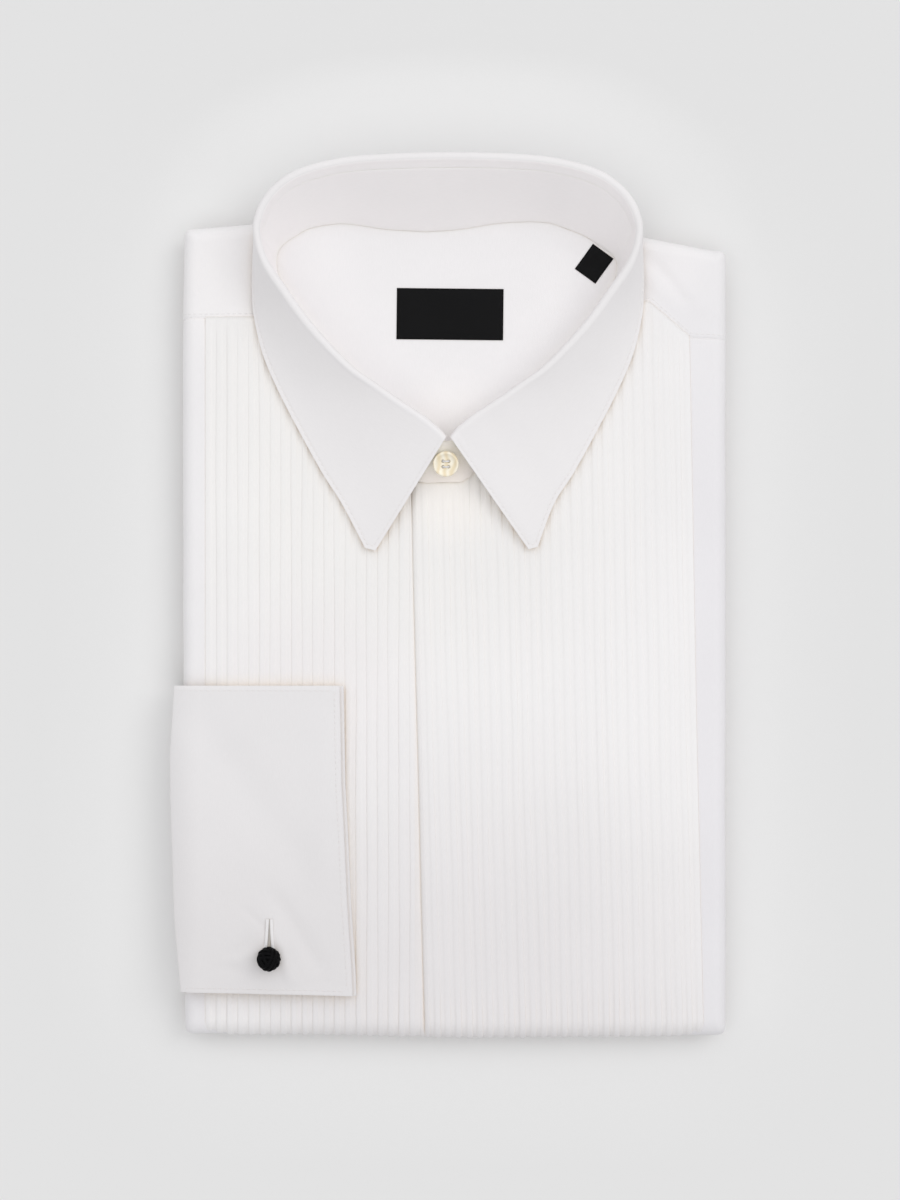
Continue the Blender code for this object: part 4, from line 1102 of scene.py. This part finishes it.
def make_buttonhole():
    """The slit above the knot: a dark opening between two rows of close white stitches."""
    share = np.linspace(0, 1, 40)
    ys = share * SLIT_LENGTH + KNOT_CENTRE[1] + 0.5
    spread = 0.15 + 1.15 * (1 - share) ** 1.6
    middle = KNOT_CENTRE[0] + 0.3
    around = circle(8)
    edge = stacked(np.cos(around) * 0.75, 0, np.sin(around) * 0.35)
    for side_name, sign in SIDE.items():
        path = cuff_surface(middle + sign * (spread + 0.75), ys) + (0, 0, 0.15)
        obj = grid_object("buttonhole_edge_" + side_name, path[:, None] + edge, closed=True)
        finish_piece(obj, thread)
    # The opening is a grey sheet laid in the slit: painted shade.
    left, right = cuff_surface(middle - spread, ys), cuff_surface(middle + spread, ys)
    slit = np.stack([left, (left + right) / 2, right], 1)
    slit[..., 2] += np.array([0.06, 0.04, 0.06])
    cloth_piece("buttonhole_slit", slit, 0.1, shade, "cuff_cloth")


def make_knot():
    """A silk knot: a ball of braided cord wound in crossing bands round a black core."""
    seat = CUFF_UPPER_Z + TENT_HEIGHT + 0.3
    centre = np.array([*KNOT_CENTRE, seat + KNOT_RADIUS * KNOT_SEAT])
    radius = KNOT_RADIUS - KNOT_CORD - 0.45
    t = circle(72)
    strands = []
    for band in range(3):
        for offset in (-KNOT_STEP, 0, KNOT_STEP):
            level = offset / radius
            ring = stacked(np.cos(t) * cos(level), np.sin(t) * cos(level), sin(level))
            ring = ring * (radius + 0.35 * np.cos(3 * t + 2.1 * band))[:, None]
            ring = turned(turned(ring, KNOT_TILT, 1, 2), 2 * pi * band / 3, 0, 1)
            ring[:, 2] = np.maximum(ring[:, 2], -KNOT_RADIUS * KNOT_SEAT + KNOT_CORD)
            ring = ring + centre
            ahead = unit(np.roll(ring, -1, 0) - np.roll(ring, 1, 0))
            side = unit(np.cross(ahead, unit(ring - centre)))
            strands.append(tube(ring, KNOT_CORD, axes=(side, np.cross(side, ahead)), looped=True))
    finish_piece(joined("silk_knot_ball", strands), silk, ["silk_knot"])
    core = radius * 0.97
    t = np.linspace(0, pi, 24)
    ball = lathe(stacked(core * np.sin(t), np.maximum(core * np.cos(t), -KNOT_RADIUS * 0.58)),
                 36) + centre
    stem = lathe([(1.1, z) for z in np.linspace(seat + 1, TOP_Z + CREST_LIFT + 0.4, 6)], 12)
    for name, points in (("core", ball), ("stem", stem + (*KNOT_CENTRE, 0))):
        obj = grid_object("silk_knot_" + name, points, closed=True)
        obj.data.flip_normals()
        finish_piece(obj, silk)


def make_sleeve():
    """The sleeve from the cuff round the body's left edge, with the soft folds of its fullness."""
    ys = np.linspace(CUFF_TOP_Y - 0.8, CUFF_BOTTOM_Y + 0.8, 120)[:, None]
    fine = spline(SLEEVE_PROFILE, np.linspace(0, len(SLEEVE_PROFILE) - 1, 36))
    clear = along(LEFT_EDGE, ys) - 1.5
    left = np.minimum(along(CUFF_LEFT, ys) + 0.4, clear)
    fold = 0.5 * (1 + ripple(ys, fine[:, 1] * 0.4, 26, 8)) * 0.5
    x = np.minimum(left + fine[:, 0], clear + np.maximum(fine[:, 0], 0)) - fold * 0.5
    points = stacked(x, ys, fine[:, 1])
    cloth_piece("sleeve_side", points, 0.7, poplin, "shirt_cloth", ["sleeve"])


# ---- Labels ----
def ground_height(ground, x, y):
    """Height in millimetres of the cloth under a point, or of its nearest edge."""
    hit = ground.ray_cast(Vector((x * MM, y * MM, 0.06)), Vector((0, 0, -1)))[0]
    if hit is None:
        hit = ground.find_nearest(Vector((x * MM, y * MM, TOP_Z * MM)))[0]
    return hit.z / MM


def make_label(name, centre, size, angle, stands_for, ground):
    u = np.linspace(-0.5, 0.5, 60)[None, :] * size[0]
    v = np.linspace(-0.5, 0.5, 32)[:, None] * size[1]
    x = centre[0] + u * cos(angle) - v * sin(angle)
    y = centre[1] + u * sin(angle) + v * cos(angle)
    z = np.array([ground_height(ground, px, py) for px, py in zip(x.ravel(), y.ravel())])
    z = z.reshape(x.shape) + 0.5
    wave = 0.16 * np.sin(u / size[0] * 9 + v / size[1]) + 0.08 * np.sin(v / size[1] * 7)
    edge = np.maximum(np.abs(u) / size[0], np.abs(v) / size[1]) * 2
    z = z + wave * (1 - edge ** 6) - 0.25 * edge ** 8
    cloth_piece(name, stacked(x, y, z), 0.3, satin, "label_satin", stands_for, cloth=stacked(u, v))


# ---- Assembly ----
poplin = cloth_material("white_poplin", (0.87, 0.856, 0.868), 0.42, 0.35, tints=BODY_TINTS_PAINTED_LIGHT_AND_SHADE,
                        shade_tint=PLAIN_SHADE_TINT)
bib_cloth = cloth_material("pleated_poplin", (0.893, 0.88, 0.884), 0.42, 0.3, tints=BIB_TINTS_AND_PAINTED_LIGHT)
collar_cloth = cloth_material("collar_poplin", (0.862, 0.844, 0.851), 0.42, 0.25, sheen=0.1)
# The band's cloth is a paler copy of the collar cloth: painted light where the collar shades the band.
band_cloth_painted_light = cloth_material("band_poplin_painted_light", (0.95, 0.92, 0.925), 0.42, 0.25, sheen=0.1,
                            tints=BAND_PAINTED_LIGHT, shade_tint=BAND_SHADE_TINT)
cuff_cloth = cloth_material("cuff_poplin", (0.815, 0.80, 0.808), 0.42, 0.3, sheen=0.1,
                            tints=CUFF_TINTS, shade_tint=PLAIN_SHADE_TINT)
inside_cloth = cloth_material("inside_poplin", (0.885, 0.87, 0.88), 0.42, 0.35,
                              tints=INSIDE_PAINTED_LIGHT, shade_tint=PLAIN_SHADE_TINT)
thread = cloth_material("white_thread", (0.84, 0.828, 0.834), 0.5, 0.6, shade_tint=None)
# grey for the buttonhole's opening: painted shade
shade = cloth_material("slit_shade", (0.5, 0.48, 0.46), 0.5, 0.2)
satin = cloth_material("black_satin", (0.004, 0.004, 0.0045), 0.35, 0.3, roughness=0.5, sheen=0,
                       satin=True, shade_tint=None)
silk = cord_material()
pearl = pearl_material()

make_folded_layers()
for side_name in ("left", "right"):
    make_front(side_name)
    make_bib(side_name)
    make_yoke(side_name)
inside = make_yoke_inner()
make_collar_stand()
make_collar_leaf()
make_button()
make_cuff("cuff_inner_half", CUFF_UNDER_Z, 1.6, ["cuff_under"], 0.4)
make_cuff("cuff_outer_half", CUFF_UPPER_Z, 0, ["cuff_upper"], 1)
make_cuff_stitching()
make_buttonhole()
make_knot()
make_sleeve()
ground = BVHTree.FromPolygons([v.co for v in inside.data.vertices],
                              [p.vertices for p in inside.data.polygons])
make_label("label_satin_patch", LABEL_CENTRE, LABEL_SIZE, LABEL_ANGLE, ["neck_label"], ground)
make_label("size_tab_patch", TAB_CENTRE, TAB_SIZE, TAB_ANGLE, ["size_tab"], ground)

# ---- Floor, light and camera ----
bpy.ops.mesh.primitive_plane_add(size=8, location=(0, 0, -0.0002))
floor = bpy.context.object
floor.name = "floor"
floor.data.materials.append(floor_material())

world = bpy.data.worlds.new("studio")
bpy.context.scene.world = world
world.use_nodes = True
background = world.node_tree.nodes["Background"]
background.inputs["Color"].default_value = (0.985, 0.99, 1, 1)
background.inputs["Strength"].default_value = WORLD_STRENGTH

for light_name, strength, softness, towards in LIGHTS:
    lamp = bpy.data.lights.new(light_name, "SUN")
    lamp.energy = strength
    lamp.angle = radians(softness)
    lamp.color = (1, 0.992, 0.98)
    key = bpy.data.objects.new(light_name, lamp)
    bpy.context.scene.collection.objects.link(key)
    key.location = towards
    key.rotation_euler = Vector(towards).to_track_quat("Z", "Y").to_euler()

camera_data = bpy.data.cameras.new("camera")
camera = bpy.data.objects.new("camera", camera_data)
bpy.context.scene.collection.objects.link(camera)
camera.location = (CAMERA_X * MM, CAMERA_Y * MM, (CAMERA_HEIGHT + SHIRT_TOP) * MM)
camera_data.sensor_width = SENSOR_WIDTH
camera_data.lens = SENSOR_WIDTH * CAMERA_HEIGHT / FRAME_HEIGHT
camera_data.clip_end = 10
bpy.context.scene.camera = camera
bpy.context.scene.view_settings.view_transform = "Standard"
